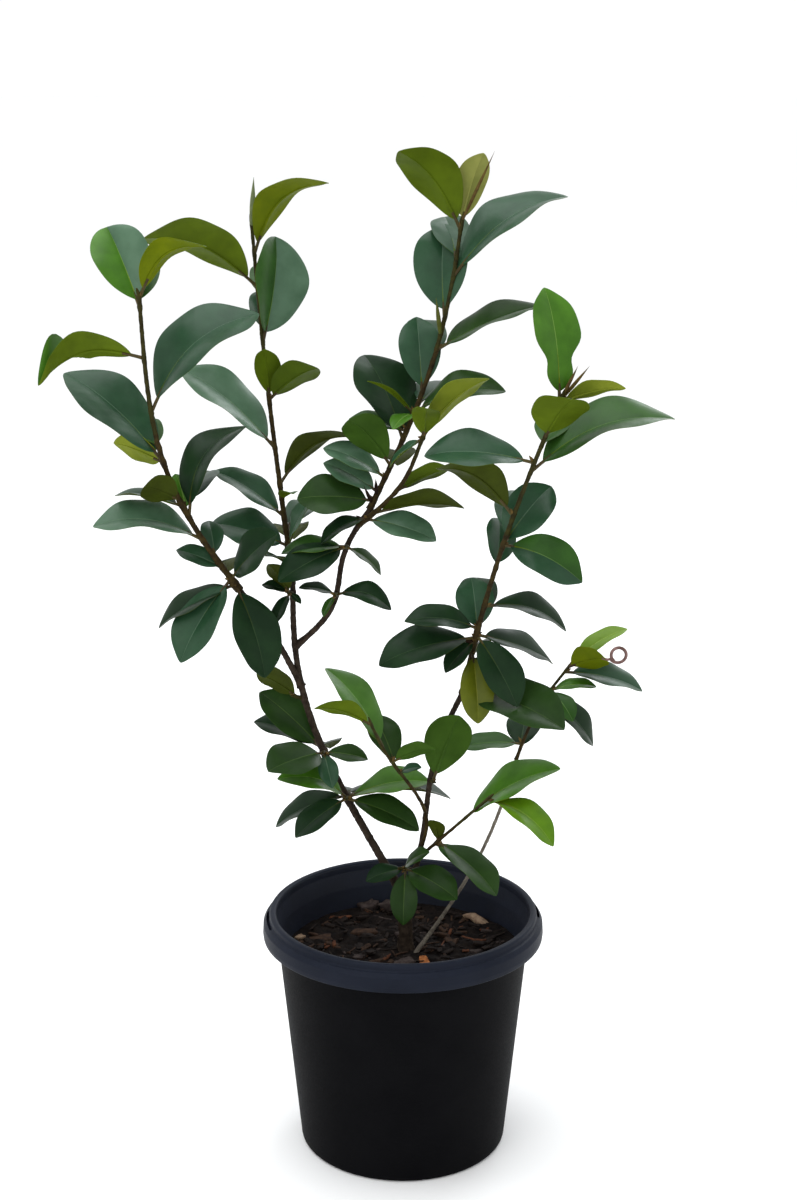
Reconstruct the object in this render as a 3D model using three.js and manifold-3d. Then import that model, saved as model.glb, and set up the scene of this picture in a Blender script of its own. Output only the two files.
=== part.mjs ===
// A young magnolia in a round nursery pot, in millimetres, +Z up.
// The origin is the centre of the pot's flat underside, +X is the right of the front view, -Y is the front.
import * as THREE from "three";
import { mergeVertices } from "three/addons/utils/BufferGeometryUtils.js";
import Module from "manifold-3d";

const wasm = await Module();
wasm.setup();

// Pot and potting mix
const POT_HEIGHT = 175.5;
const FOOT_RADIUS = 73.8;
const FOOT_ROUND = 2.5;
const WALL_TOP_RADIUS = 89.6;
const WALL = 2.2;
const FLOOR = 2.6;
const RIM_RADIUS = 100;
const RIM_HEIGHT = 18.5;
const LIP_RADIUS = 95;
const LIP_ROUND = 2.4;
const RIM_CHAMFER = 1;
const STEP_DOWN = 5;
const SKIRT_BAND = 6;
const SHOULDER_OUT = 1.5;
const POT_SIDES = 48;
const MIX_CLEAR = 0.45;
const MIX_TOP = 142;
const MOUND_TOP = 144;
const MOUND_RADIUS = 20;
const MOUND_FOOT_RADIUS = 52;

// Clear space between neighbours, and how the solids are faceted
const GAP = 0.3;
const LEAST_GAP = 0.8 * GAP;
const LIMB_SIDES = 8;
const SHOOT_SIDES = 6;
const LEAF_SIDES = 4;
const STEP_LENGTH = 22;
const FEWEST_STEPS = 3;
const MERGE = 1e-4;
const NUDGE = 0.01;
const NEARLY_ALONG = 0.8;
const SOWN_BELOW = 0.06;
const SLAB = [400, 400, 100];

// Leaf sizes shared by all kinds, as shares of a leaf's own length unless they end in MM
const STALK = 0.1;
const WIDEST = 0.51;
const BASE_FULLNESS = 0.7;
const TIP_FULLNESS = 0.6;
const STALK_HALF_MM = 0.9;
const TIP_HALF_MM = 0.35;
const BLADE_THICKNESS = 0.016;
const THINNEST_MM = 1.0;
const STATIONS = [0, STALK, 0.3, 0.54, 0.8, 1];
const CURL_SPREAD = 0.4;
const WIDTH_SPREAD = 0.14;
const BUD_LENGTH_MM = 5;
const BUD_TIP = 0.5;
const TIP_THINNING = 0.5;
const MIDDLE = 0.5;

// The two numbers that scatter a seed into a share
const SCATTER = [12.9898, 43758.5453];

// Leaf kinds: width and curl over length, and how far the edges fold up over the half width
const KINDS = {
  old: { width: 0.52, curl: 0.06, fold: 0.26 },
  arched: { width: 0.51, curl: 0.14, fold: 0.28 },
  hooked: { width: 0.48, curl: 0.22, fold: 0.28 },
  cupped: { width: 0.58, curl: 0.04, fold: 0.45 },
  broad: { width: 0.68, curl: 0.05, fold: 0.2 },
  green: { width: 0.53, curl: 0.07, fold: 0.22 },
  young: { width: 0.44, curl: 0.08, fold: 0.26 },
  slim: { width: 0.22, curl: 0.05, fold: 0.3 },
  bud: { width: 0.13, curl: 0.02, fold: 0, round: 0.1 },
};

// Limbs: where each starts, its reach, its bow and sway to the side, its radius at foot and tip
const ROOT_FLARE = 1.8;
const FAR_FLARE = 0.5;
const FLARE_SHARE = 0.3;
const GROUND = MOUND_TOP + GAP;
const LIMBS = {
  trunk: {
    foot: [2, 0, GROUND], reach: [-1, 0, 43], thick: [4.8, 5.0], flare: ROOT_FLARE,
  },
  stem_left: {
    on: ["trunk", 1], shift: [-1.9, 0, GAP], reach: [-75, 10, 228], bow: [-21, 0, 0], sway: [2, 0, 0],
    thick: [2.9, 1.9],
  },
  stem_right: {
    on: ["trunk", 1], shift: [3.4, 0, GAP], reach: [36, -20, 155], bow: [-5, 0, 0], sway: [3, 0, 0],
    thick: [1.9, 1.9],
  },
  left_bough: {
    on: ["stem_left", 0.665], reach: [-41, -10, 72], bow: [3, 0, 0], thick: [2.2, 1.9],
  },
  right_bough: {
    on: ["stem_left", 0.79], reach: [52, 0, 97], bow: [4.5, 0, -3], sway: [6, 0, 0], thick: [2.0, 1.8],
  },
  far_stem: {
    foot: [9.5, -6.5, GROUND], reach: [72, 46, 129], bow: [9.5, 0, 0], thick: [1.3, 1.2], flare: FAR_FLARE,
  },
};

// Shoots: each is one mass, with leaves as kind, place on the shoot, clock direction in the front view,
// lean away from the front, length, and how far the upper side is turned to the front
const SHOOTS = {
  left_leader: {
    on: ["left_bough", 1], reach: [-55.5, -50, 205], bow: [-21, 0, 0], sway: [-2, 0, 0], thick: [2.0, 1.3],
    leaves: [
      ["old", 0.02, 290, -20, 66, 10],
      ["old", 0.02, 207, -10, 59, 15],
      ["old", 0.04, 236, -25, 66, 15],
      ["broad", 0.04, 48, -20, 50, 55],
      ["old", 0.08, 160, 10, 34, 40],
      ["old", 0.12, 106, 50, 32, 0],
      ["arched", 0.18, 170, -5, 73, 12],
      ["old", 0.3, 174, 20, 50, 0],
      ["hooked", 0.26, 58, 25, 74, 4],
      ["green", 0.28, 108, 30, 28, 0],
      ["broad", 0.32, 145, -40, 33, -50],
      ["broad", 0.45, 161, 20, 38, -65],
      ["old", 0.45, 139, 15, 90, 22],
      ["arched", 0.62, 43, 15, 95, 16],
      ["hooked", 0.8, 191, -15, 69, -42],
      ["cupped", 0.96, 115, 28, 62, 20],
      ["hooked", 0.99, 39, -20, 60, -14],
      ["old", 0.1, 275, 70, 50, 0],
      ["old", 0.3, 48, 66, 52, 0],
      ["old", 0.5, 160, 58, 56, 0],
      ["old", 0.97, 100, 60, 52, 0],
    ],
  },
  back_leader: {
    on: ["stem_left", 1], reach: [-30, 80, 238], bow: [-2, 0, 0], thick: [1.9, 1.2],
    leaves: [
      ["old", 0.03, 135, -50, 34, 0],
      ["broad", 0.09, 163, 4, 55, 28],
      ["old", 0.09, 64, -14, 42, 40],
      ["old", 0.17, 147, 10, 58, 18],
      ["old", 0.22, 45, -60, 25, 0],
      ["hooked", 0.26, 35, -15, 68, -27],
      ["old", 0.36, 140, 10, 86, 10],
      ["old", 0.5, 92, -20, 38, 0],
      ["old", 0.495, 38, -30, 50, -28],
      ["cupped", 0.655, 82, 14, 74, 76],
      ["arched", 0.81, 152, -25, 90, -27],
      ["hooked", 0.9, 45, -15, 75, -18],
      ["bud", 0.98, 87, 5, 34, 0],
      ["old", 0.14, 280, 70, 52, 0],
      ["old", 0.14, 16, 62, 54, 0],
      ["old", 0.68, 76, 58, 54, 0],
      ["old", 0.78, 58, 62, 52, 0],
    ],
  },
  centre_leader: {
    on: ["right_bough", 1], reach: [63, 45, 192], bow: [11, 0, 0], thick: [1.8, 1.3],
    leaves: [
      ["broad", 0.03, 176, -7, 52, 38],
      ["old", 0.06, 152, 10, 42, 35],
      ["old", 0.11, 153, 2, 46, 25],
      ["arched", 0.15, 127, -31, 54, -42],
      ["old", 0.27, 169, 15, 41, 20],
      ["broad", 0.24, 115, 26, 67, 0],
      ["slim", 0.33, 140, -20, 42, 0],
      ["young", 0.33, 200, -60, 30, 0],
      ["arched", 0.33, 17, -10, 64, 20],
      ["old", 0.4, 94, 27, 55, 0],
      ["old", 0.55, 22, 5, 80, 15],
      ["old", 0.655, 90, 32, 72, -20],
      ["arched", 0.8, 35, 15, 97, 15],
      ["arched", 0.96, 127, -20, 72, -34],
      ["young", 0.98, 72, -15, 52, -12],
      ["bud", 0.99, 69, 0, 52, 0],
      ["old", 0.2, 270, 70, 50, 0],
      ["old", 0.36, 20, 60, 56, 0],
      ["old", 0.5, 105, 62, 56, 0],
      ["old", 0.86, 104, 60, 54, 0],
      ["bud", 0.6, 97, -18, 28, 0],
    ],
  },
  front_shoot: {
    on: ["right_bough", 0.9], reach: [54, -49, 92], bow: [9, 0, 0], sway: [3, 0, 0], thick: [1.6, 1.2],
    leaves: [
      ["old", 0.05, 348, -20, 51, 28],
      ["arched", 0.06, 206, -15, 36, 20],
      ["old", 0.1, 7, -10, 62, -28],
      ["old", 0.28, 25, 0, 40, -40],
      ["old", 0.72, 222, 10, 30, 20],
      ["young", 0.72, 85, -50, 40, -10],
      ["young", 0.74, 46, -20, 62, -24],
    ],
  },
  right_leader: {
    on: ["stem_right", 1], reach: [60, -50, 212], bow: [-6, 0, 0], thick: [1.9, 1.3],
    leaves: [
      ["old", 0.03, 347, -35, 80, 25],
      ["young", 0.15, 273, -20, 45, 0],
      ["old", 0.2, 191, -15, 68, 20],
      ["old", 0.19, 222, -25, 30, 20],
      ["old", 0.21, 303, -30, 56, 25],
      ["old", 0.21, 336, 15, 60, 22],
      ["arched", 0.23, 170, -10, 50, 30],
      ["broad", 0.22, 96, 30, 38, 0],
      ["arched", 0.31, 344, 0, 57, 15],
      ["old", 0.44, 82, 50, 42, 30],
      ["arched", 0.52, 339, -20, 57, 40],
      ["broad", 0.52, 50, 15, 50, 30],
      ["hooked", 0.615, 143, -20, 66, -40],
      ["old", 0.79, 175, 0, 70, 25],
      ["arched", 0.76, 21, 5, 98, 20],
      ["broad", 0.87, 66, -46, 50, -10],
      ["green", 0.98, 97, 14, 73, 0],
      ["young", 0.98, 18, -20, 44, -38],
      ["bud", 0.99, 66, -10, 25, 0],
      ["bud", 0.99, 50, 5, 28, 0],
      ["old", 0.17, 278, 70, 54, 0],
      ["old", 0.24, 88, 66, 54, 0],
      ["old", 0.55, 50, 62, 56, 0],
      ["old", 0.84, 30, 60, 54, 0],
    ],
  },
  round_spur: {
    on: ["stem_right", 0.575], reach: [2, -6, 1], thick: [1.2, 1.1],
    leaves: [["broad", 0.9, 72, -14, 57, -48]],
  },
  side_shoot: {
    on: ["stem_right", 0.22], reach: [-34, -41, 108], bow: [11, 0, 0], sway: [5, 0, 0], thick: [1.4, 1.0],
    leaves: [
      ["old", 0.7, 29, -25, 36, -45],
      ["old", 0.67, 118, 40, 42, 0],
      ["green", 0.8, 126, 15, 67, 7],
      ["green", 0.98, 152, -25, 46, -30],
      ["old", 0.62, 24, -24, 17, 35],
    ],
  },
  low_right_shoot: {
    on: ["stem_right", 0.18], reach: [47, -58, 67], thick: [1.2, 1.0],
    leaves: [
      ["old", 0.28, 326, -30, 56, 0],
      ["old", 0.28, 98, -30, 24, 10],
      ["green", 0.67, 34, -10, 75, 16],
      ["arched", 0.97, 332, -25, 54, 5],
      ["green", 0.24, 324, -5, 25, 40],
    ],
  },
  far_shoot: {
    on: ["far_stem", 1], reach: [42, 25, 67], bow: [-4, 0, 2], thick: [1.2, 1.0],
    leaves: [
      ["green", 0.15, 183, 0, 44, 15],
      ["broad", 0.1, 70, 60, 36, 0],
      ["old", 0.6, 290, -50, 26, 0],
      ["old", 0.62, 312, 10, 55, 45],
      ["green", 0.68, 315, -50, 32, 10],
      ["young", 0.68, 6, 0, 33, 14],
      ["old", 0.88, 347, 0, 58, 20],
      ["broad", 0.93, 31, -40, 37, -50],
      ["young", 0.98, 31, 10, 47, 20],
    ],
  },
  fork_spur: {
    on: ["stem_right", 0.12], reach: [-9, -8, 4], thick: [1.3, 1.1],
    leaves: [
      ["green", 0.8, 267, -30, 39, 0],
      ["green", 0.9, 343, -35, 46, 20],
      ["green", 0.85, 190, -20, 29, 20],
      ["green", 0.95, 46, -28, 28, 35],
    ],
  },
  low_front_spur: {
    on: ["stem_left", 0.31], reach: [0, -7, 2], thick: [1.3, 1.1],
    leaves: [
      ["green", 0.7, 14, -2, 59, 6],
      ["old", 0.8, 339, -10, 55, 26],
      ["arched", 0.75, 157, -14, 52, 22],
      ["old", 0.95, 211, -25, 45, 25],
    ],
  },
  low_back_spur: {
    on: ["stem_left", 0.3], reach: [0, 7, 2], thick: [1.3, 1.1],
    leaves: [
      ["old", 0.7, 358, 6, 72, -15],
      ["old", 0.8, 165, 10, 24, 0],
      ["old", 0.9, 205, 5, 58, 13],
      ["old", 0.95, 285, 72, 46, 0],
    ],
  },
  mid_front_spur: {
    on: ["stem_left", 0.456], reach: [0, -7, 2], thick: [1.3, 1.1],
    leaves: [
      ["broad", 0.7, 180, -45, 51, 25],
      ["old", 0.8, 355, -10, 31, 25],
      ["old", 0.95, 290, -50, 29, 10],
    ],
  },
  mid_back_spur: {
    on: ["stem_left", 0.456], reach: [-3, 6, 2], thick: [1.3, 1.1],
    leaves: [
      ["old", 0.7, 138, 10, 58, 38],
      ["old", 0.9, 160, 10, 50, 10],
      ["old", 0.95, 290, 70, 44, 0],
    ],
  },
  upper_spur: {
    on: ["stem_left", 0.627], reach: [-5, -3, 2], thick: [1.2, 1.1],
    leaves: [["broad", 0.9, 149, 5, 33, -55]],
  },
  top_spur: {
    on: ["stem_left", 0.955], reach: [-2, -6, 2], thick: [1.2, 1.1],
    leaves: [
      ["old", 0.8, 242, -30, 24, 0],
      ["old", 0.9, 165, 10, 20, 20],
      ["young", 0.9, 325, -38, 12, 30],
      ["broad", 0.9, 122, -10, 26, -40],
    ],
  },
  bough_low_spur: {
    on: ["right_bough", 0.41], reach: [0, -6, 2], thick: [1.2, 1.1],
    leaves: [
      ["hooked", 0.75, 348, -10, 39, 30],
      ["old", 0.95, 166, -10, 26, 20],
      ["young", 0.85, 237, -30, 18, 0],
    ],
  },
  bough_high_spur: {
    on: ["right_bough", 0.75], reach: [0, -6, 2], thick: [1.2, 1.1],
    leaves: [
      ["green", 0.75, 322, -5, 30, 14],
      ["old", 0.85, 201, -28, 54, 38],
      ["old", 0.95, 183, -9, 44, 20],
    ],
  },
};

const UP = new THREE.Vector3(0, 0, 1);
const FRONT = new THREE.Vector3(0, -1, 0);
const ZERO = [0, 0, 0];
const vector = (values) => new THREE.Vector3(...values);
const rad = THREE.MathUtils.degToRad;

// A share between 0 and 1 that always comes out the same for the same seed
function chance(seed) {
  const wave = Math.sin(seed * SCATTER[0]) * SCATTER[1];
  return wave - Math.floor(wave);
}

// The point of a limb or shoot at a share t of its length
function along(limb, t) {
  return limb.foot.clone()
    .addScaledVector(limb.reach, t)
    .addScaledVector(limb.bow, Math.sin(Math.PI * Math.min(t, 1)))
    .addScaledVector(limb.sway, Math.sin(2 * Math.PI * Math.min(t, 1)));
}

// A direction from its clock angle in the front view and its lean away from the front
function heading(clock, lean) {
  const flat = Math.cos(rad(lean));
  return new THREE.Vector3(flat * Math.cos(rad(clock)), Math.sin(rad(lean)), flat * Math.sin(rad(clock)));
}

// Placed limb or shoot: the foot stands on the limb it grows from
function placed(row, limbs) {
  const foot = row.on ? along(limbs[row.on[0]], row.on[1]) : vector(row.foot);
  foot.add(vector(row.shift || ZERO));
  return {
    foot,
    reach: vector(row.reach),
    bow: vector(row.bow || ZERO),
    sway: vector(row.sway || ZERO),
    thick: row.thick,
    flare: row.flare || 0,
  };
}

// A closed solid from a three.js geometry
function solid(geometry) {
  geometry.deleteAttribute("normal");
  geometry.deleteAttribute("uv");
  const merged = mergeVertices(geometry, MERGE);
  return new wasm.Manifold(new wasm.Mesh({
    numProp: 3,
    vertProperties: merged.attributes.position.array,
    triVerts: new Uint32Array(merged.index.array),
  }));
}

// A straight rod of unit size whose points are moved to their place: across, along as a share, and up
function moulded(sides, steps, place) {
  const rod = new THREE.CylinderGeometry(1, 1, 1, sides, steps);
  const points = rod.attributes.position;
  for (let i = 0; i < points.count; i++) {
    const spot = place(points.getX(i), points.getY(i) + 0.5, points.getZ(i));
    points.setXYZ(i, spot.x, spot.y, spot.z);
  }
  return solid(rod);
}

// A tapering tube round a limb, with a number of millimetres added to its radius and at both ends
function tube(limb, sides, swell = 0, bud = 0) {
  const length = limb.reach.length();
  const back = swell / length;
  const ahead = (swell + bud) / length;
  const steps = Math.max(FEWEST_STEPS, Math.round(length / STEP_LENGTH));
  const level = Math.abs(limb.reach.clone().normalize().dot(FRONT)) > NEARLY_ALONG ? UP : FRONT;
  return moulded(sides, steps, (across, share, up) => {
    const t = -back + share * (1 + back + ahead);
    const tangent = along(limb, t + NUDGE).sub(along(limb, t - NUDGE)).normalize();
    const side = tangent.clone().cross(level).normalize();
    const normal = side.clone().cross(tangent);
    const flare = limb.flare * Math.max(0, 1 - t / FLARE_SHARE) ** 2;
    const end = bud && share === 1 ? BUD_TIP : 1;
    const radius = (THREE.MathUtils.lerp(limb.thick[0], limb.thick[1], Math.min(1, t)) + flare) * end + swell;
    return along(limb, t).addScaledVector(side, across * radius).addScaledVector(normal, up * radius);
  });
}

// One leaf as a thin solid, its root at the middle of the shoot
function leafOf(shoot, [kind, place, clock, lean, length, face], seed) {
  const shape = KINDS[kind];
  const base = along(shoot, place);
  const out = heading(clock, lean);
  const normal = UP.clone().addScaledVector(out, -UP.dot(out)).normalize();
  const toward = out.clone().cross(normal);
  toward.multiplyScalar(toward.dot(FRONT) < 0 ? -1 : 1);
  normal.multiplyScalar(Math.cos(rad(face))).addScaledVector(toward, Math.sin(rad(face)));
  const side = out.clone().cross(normal);
  const curl = shape.curl * (1 - CURL_SPREAD / 2 + CURL_SPREAD * chance(seed));
  const width = shape.width * length * (1 - WIDTH_SPREAD / 2 + WIDTH_SPREAD * chance(seed + 0.5));
  const thickness = shape.round ? shape.round * length : Math.max(THINNEST_MM, BLADE_THICKNESS * length);
  const steps = STATIONS.length - 1;
  return moulded(LEAF_SIDES, steps, (across, share, up) => {
    const u = STATIONS[Math.round(share * steps)];
    const s = Math.max(0, (u - STALK) / (1 - STALK));
    const full = (s / WIDEST) ** BASE_FULLNESS * ((1 - s) / (1 - WIDEST)) ** TIP_FULLNESS;
    const half = Math.max(u < MIDDLE ? STALK_HALF_MM : TIP_HALF_MM, width / 2 * full);
    const thick = Math.max(u < MIDDLE ? THINNEST_MM : 0, thickness * (1 - TIP_THINNING * u));
    const lift = shape.fold * half * Math.abs(across) * (u > STALK ? 1 : 0);
    return base.clone()
      .addScaledVector(out, length * u)
      .addScaledVector(normal, length * curl * Math.sin(Math.PI * u) + lift + up * thick / 2)
      .addScaledVector(side, across * half);
  });
}

// The largest body of a solid, without loose scraps and with sealed hollows filled
function whole(body) {
  const parts = body.decompose().filter((part) => part.volume() > 0);
  return parts.sort((a, b) => b.volume() - a.volume())[0];
}

// A pot turned from its half section, open at the top
function potSection() {
  const skirt = POT_HEIGHT - RIM_HEIGHT;
  const shoulder = POT_HEIGHT - STEP_DOWN;
  const slope = (WALL_TOP_RADIUS - FOOT_RADIUS) / skirt;
  return [
    [0, 0],
    [FOOT_RADIUS - FOOT_ROUND, 0],
    [FOOT_RADIUS + slope * FOOT_ROUND, FOOT_ROUND],
    [WALL_TOP_RADIUS, skirt],
    [RIM_RADIUS - RIM_CHAMFER, skirt],
    [RIM_RADIUS, skirt + RIM_CHAMFER],
    [RIM_RADIUS, skirt + SKIRT_BAND],
    [LIP_RADIUS + SHOULDER_OUT, shoulder],
    [LIP_RADIUS, POT_HEIGHT - LIP_ROUND],
    [LIP_RADIUS - LIP_ROUND, POT_HEIGHT],
    [LIP_RADIUS - 2 * LIP_ROUND, POT_HEIGHT - LIP_ROUND],
    [LIP_RADIUS - 2 * LIP_ROUND, shoulder],
    [WALL_TOP_RADIUS - WALL, skirt],
    [FOOT_RADIUS - WALL + slope * FLOOR, FLOOR],
    [0, FLOOR],
  ];
}

// The inside radius of the pot's wall at a height
function insideRadius(height) {
  const skirt = POT_HEIGHT - RIM_HEIGHT;
  return FOOT_RADIUS - WALL + (WALL_TOP_RADIUS - FOOT_RADIUS) * height / skirt;
}

// Potting mix filling the pot, mounded a little round the trunk
function mixSection() {
  const low = FLOOR + GAP;
  const clear = MIX_CLEAR;
  return [
    [0, low],
    [insideRadius(low) - clear, low],
    [insideRadius(MIX_TOP) - clear, MIX_TOP],
    [MOUND_FOOT_RADIUS, MIX_TOP + 1],
    [MOUND_RADIUS, MOUND_TOP],
    [0, MOUND_TOP],
  ];
}

function turned(section) {
  const turnedBody = new THREE.LatheGeometry(section.map(([r, z]) => new THREE.Vector2(r, z)), POT_SIDES);
  return solid(turnedBody.rotateX(Math.PI / 2));
}

const COLOURS = {
  pot: new THREE.MeshStandardMaterial({ color: 0x1b1c20, roughness: 0.55, metalness: 0 }),
  mix: new THREE.MeshStandardMaterial({ color: 0x2b211b, roughness: 0.95, metalness: 0 }),
  bark: new THREE.MeshStandardMaterial({ color: 0x4a3f37, roughness: 0.85, metalness: 0 }),
  foliage: new THREE.MeshStandardMaterial({ color: 0x3f5a3c, roughness: 0.45, metalness: 0 }),
};

const group = new THREE.Group();

function add(name, body, colour) {
  const mesh = body.getMesh();
  const geometry = new THREE.BufferGeometry();
  geometry.setAttribute("position", new THREE.BufferAttribute(new Float32Array(mesh.vertProperties), 3));
  geometry.setIndex(new THREE.BufferAttribute(new Uint32Array(mesh.triVerts), 1));
  geometry.computeVertexNormals();
  const node = new THREE.Mesh(geometry, COLOURS[colour]);
  node.name = name;
  group.add(node);
}

add("pot", turned(potSection()), "pot");
add("potting_mix", turned(mixSection()), "mix");

// Limbs: each is cut back from the limb it grows from, and flat at ground level
const ground = solid(new THREE.BoxGeometry(...SLAB).translate(0, 0, GROUND - SLAB[2] / 2));
const limbs = {};
const taken = [];
for (const [name, row] of Object.entries(LIMBS)) {
  const limb = placed(row, limbs);
  limbs[name] = limb;
  const reach = limb.reach.clone().multiplyScalar(1 + SOWN_BELOW);
  const foot = limb.foot.clone().addScaledVector(limb.reach, -SOWN_BELOW);
  const longer = row.on ? limb : { ...limb, foot, reach };
  let body = tube(longer, LIMB_SIDES).subtract(ground);
  if (row.on) body = body.subtract(tube(limbs[row.on[0]], LIMB_SIDES, GAP));
  body = whole(body);
  taken.push(body);
  add(name, body, "bark");
}

// Foliage masses: a shoot with its leaves fused on; a leaf that would touch a neighbour is skipped
let seed = 0;
for (const [name, row] of Object.entries(SHOOTS)) {
  const shoot = placed(row, limbs);
  const swollen = tube(limbs[row.on[0]], LIMB_SIDES, GAP);
  let body = tube(shoot, SHOOT_SIDES, 0, BUD_LENGTH_MM).subtract(swollen);
  for (const leaf of row.leaves) {
    seed += 1;
    const blade = leafOf(shoot, leaf, seed).subtract(swollen);
    const clear = taken.every((other) => blade.minGap(other, 2 * GAP) > LEAST_GAP);
    if (!clear) continue;
    body = body.add(blade);
  }
  body = whole(body);
  taken.push(body);
  add(name, body, "foliage");
}

export default group;
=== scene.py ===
# %% [markdown]
# A young potted magnolia, built as a lesson in cells.
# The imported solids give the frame: a nursery pot, potting mix, six limbs and eighteen leafy shoots.
# Each of them is replaced here by a finer piece that stays in the same place, in metres, with +Z up.
# The limbs and leaves grow by the same rule as the solids, from rows that are nearly the same:
# a few leaves are turned, narrowed or drawn in a little more here.

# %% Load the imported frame
import math

import bpy
import numpy as np
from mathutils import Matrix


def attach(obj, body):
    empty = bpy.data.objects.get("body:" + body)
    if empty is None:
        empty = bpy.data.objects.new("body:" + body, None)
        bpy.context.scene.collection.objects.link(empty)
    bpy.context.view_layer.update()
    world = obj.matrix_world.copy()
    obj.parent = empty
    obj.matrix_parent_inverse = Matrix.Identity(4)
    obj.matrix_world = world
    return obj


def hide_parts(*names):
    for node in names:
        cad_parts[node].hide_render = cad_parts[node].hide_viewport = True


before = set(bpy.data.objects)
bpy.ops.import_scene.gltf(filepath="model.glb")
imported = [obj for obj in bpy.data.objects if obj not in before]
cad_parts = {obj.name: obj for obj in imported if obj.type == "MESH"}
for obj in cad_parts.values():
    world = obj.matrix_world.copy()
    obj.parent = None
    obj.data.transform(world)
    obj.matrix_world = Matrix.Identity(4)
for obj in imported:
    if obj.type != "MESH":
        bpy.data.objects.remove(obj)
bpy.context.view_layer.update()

MM = 0.001
print("frame nodes:", len(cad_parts))

# %% [markdown]
# The photograph was taken from a little above the crown, looking down at the pot.
# Its lens isn't known, so a fairly long one is taken, which keeps the pot's sides nearly parallel:
# on a picture 1200 pixels high, an object one metre wide at two metres covers 1000 pixels.
# Setting the sensor to the tall side gives the same framing at any render size.

# %% Camera
PICTURE_HEIGHT_PX = 1200
FOCAL_PX = 2000
SENSOR_MM = 36
EYE_MM = (-3.2, -1325, 754.5)
LEVEL_DEG = 90
LOOK_DOWN_DEG = 14.85

lens = bpy.data.cameras.new("front_lens")
lens.sensor_fit = "VERTICAL"
lens.sensor_height = SENSOR_MM
lens.lens = SENSOR_MM * FOCAL_PX / PICTURE_HEIGHT_PX
camera = bpy.data.objects.new("front_camera", lens)
camera.location = [value * MM for value in EYE_MM]
camera.rotation_euler = (math.radians(LEVEL_DEG - LOOK_DOWN_DEG), 0, 0)
bpy.context.collection.objects.link(camera)
bpy.context.scene.camera = camera
print("lens:", round(lens.lens, 1), "mm")

# %% [markdown]
# Every piece below is a mesh made from arrays of points.
# Blender can take points one by one through bmesh, but leaves have hundreds of thousands of them,
# so a sheaf gathers whole arrays, with the finish of each face, and becomes one mesh at the end.
# The sheaf also keeps a flat map, in which each leaf side has a cell of its own.

# %% A sheaf of points and faces
class Sheaf:
    """Points in millimetres and four-sided faces, gathered for one piece"""

    def __init__(self):
        self.points = []
        self.faces = []
        self.finishes = []
        self.places = []
        self.count = 0

    def add(self, points, faces, finish, places=None):
        """Adds faces of one finish name, or of one name for each face"""
        names = [finish] * len(faces) if isinstance(finish, str) else list(finish)
        self.points.append(points)
        self.faces.append(np.asarray(faces) + self.count)
        self.finishes += names
        self.places.append(places if places is not None else np.zeros((len(points), 2)))
        self.count += len(points)


print("points in an empty sheaf:", Sheaf().count)

# %% Grids and unit vectors
TINY = 1e-12


def grid_faces(rows, columns, closed=False):
    """The four-sided faces of a grid of points; closed joins the last column to the first"""
    last = columns if closed else columns - 1
    low, across = np.meshgrid(np.arange(rows - 1), np.arange(last), indexing="ij")
    beside = (across + 1) % columns
    corners = [low * columns + across, low * columns + beside]
    corners += [(low + 1) * columns + beside, (low + 1) * columns + across]
    return np.stack([corner.ravel() for corner in corners], axis=1)


def unit(vectors):
    """Vectors made one long"""
    return vectors / np.maximum(np.linalg.norm(vectors, axis=-1, keepdims=True), TINY)


print("faces of a grid of 3 by 4 points:", len(grid_faces(3, 4)))

# %% [markdown]
# Nothing that grows is quite even, so many steps below add a small seeded unevenness.
# A few crossed sine waves with drawn directions are enough, run on whole arrays at once,
# and come out the same on every run.

# %% Unevenness
WAVES = 7


def ripple(points, pitch, seed):
    """A smooth unevenness of about one unit, with hills about one pitch apart"""
    draw = np.random.default_rng(seed)
    turns = unit(draw.normal(size=(WAVES, 3)))
    starts = draw.uniform(0, 2 * math.pi, WAVES)
    return np.sin(points @ turns.T * (2 * math.pi / pitch) + starts).sum(axis=1) / math.sqrt(WAVES)


print("ripple at three spots:", np.round(ripple(np.eye(3), 2.0, 1), 2))

# %% [markdown]
# A finish is a material of shader nodes. Three effects come back in several of them, so each is a
# node group built once: a mottle that wanders between two colours, a fine grain for the bump,
# and a paler colour on what faces up, which is dust and, on the pot's rim and inside, painted sky sheen.
# Groups give out only colours and values;
# the shader itself stays in each material, with its constant values set on its own sockets.

# %% Screen colours
SCREEN_TOP = 255
TOE_END = 0.04045
TOE_SLOPE = 12.92
CURVE_SHIFT = 0.055
CURVE_POWER = 2.4


def tint(red, green, blue):
    """A shader colour from the red, green and blue of a screen colour, 0 to 255"""
    shares = np.array([red, green, blue]) / SCREEN_TOP
    bent = ((shares + CURVE_SHIFT) / (1 + CURVE_SHIFT)) ** CURVE_POWER
    return (*np.where(shares <= TOE_END, shares / TOE_SLOPE, bent).tolist(), 1.0)


print("a middle screen grey in the shader:", round(tint(128, 128, 128)[0], 3))

# %% Node helpers
COLOUR = "NodeSocketColor"
VALUE = "NodeSocketFloat"
BLEND_FIRST = 6
BLEND_SECOND = 7
BLEND_RESULT = 2


def new_group(name, inputs, outputs):
    """An empty node group with its sockets; each socket is a name, a kind and a first value"""
    group = bpy.data.node_groups.new(name, "ShaderNodeTree")
    for label, kind, value in inputs:
        socket = group.interface.new_socket(label, in_out="INPUT", socket_type=kind)
        socket.default_value = value
    for label, kind in outputs:
        group.interface.new_socket(label, in_out="OUTPUT", socket_type=kind)
    entry = group.nodes.new("NodeGroupInput")
    leave = group.nodes.new("NodeGroupOutput")
    return group, entry, leave


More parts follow.
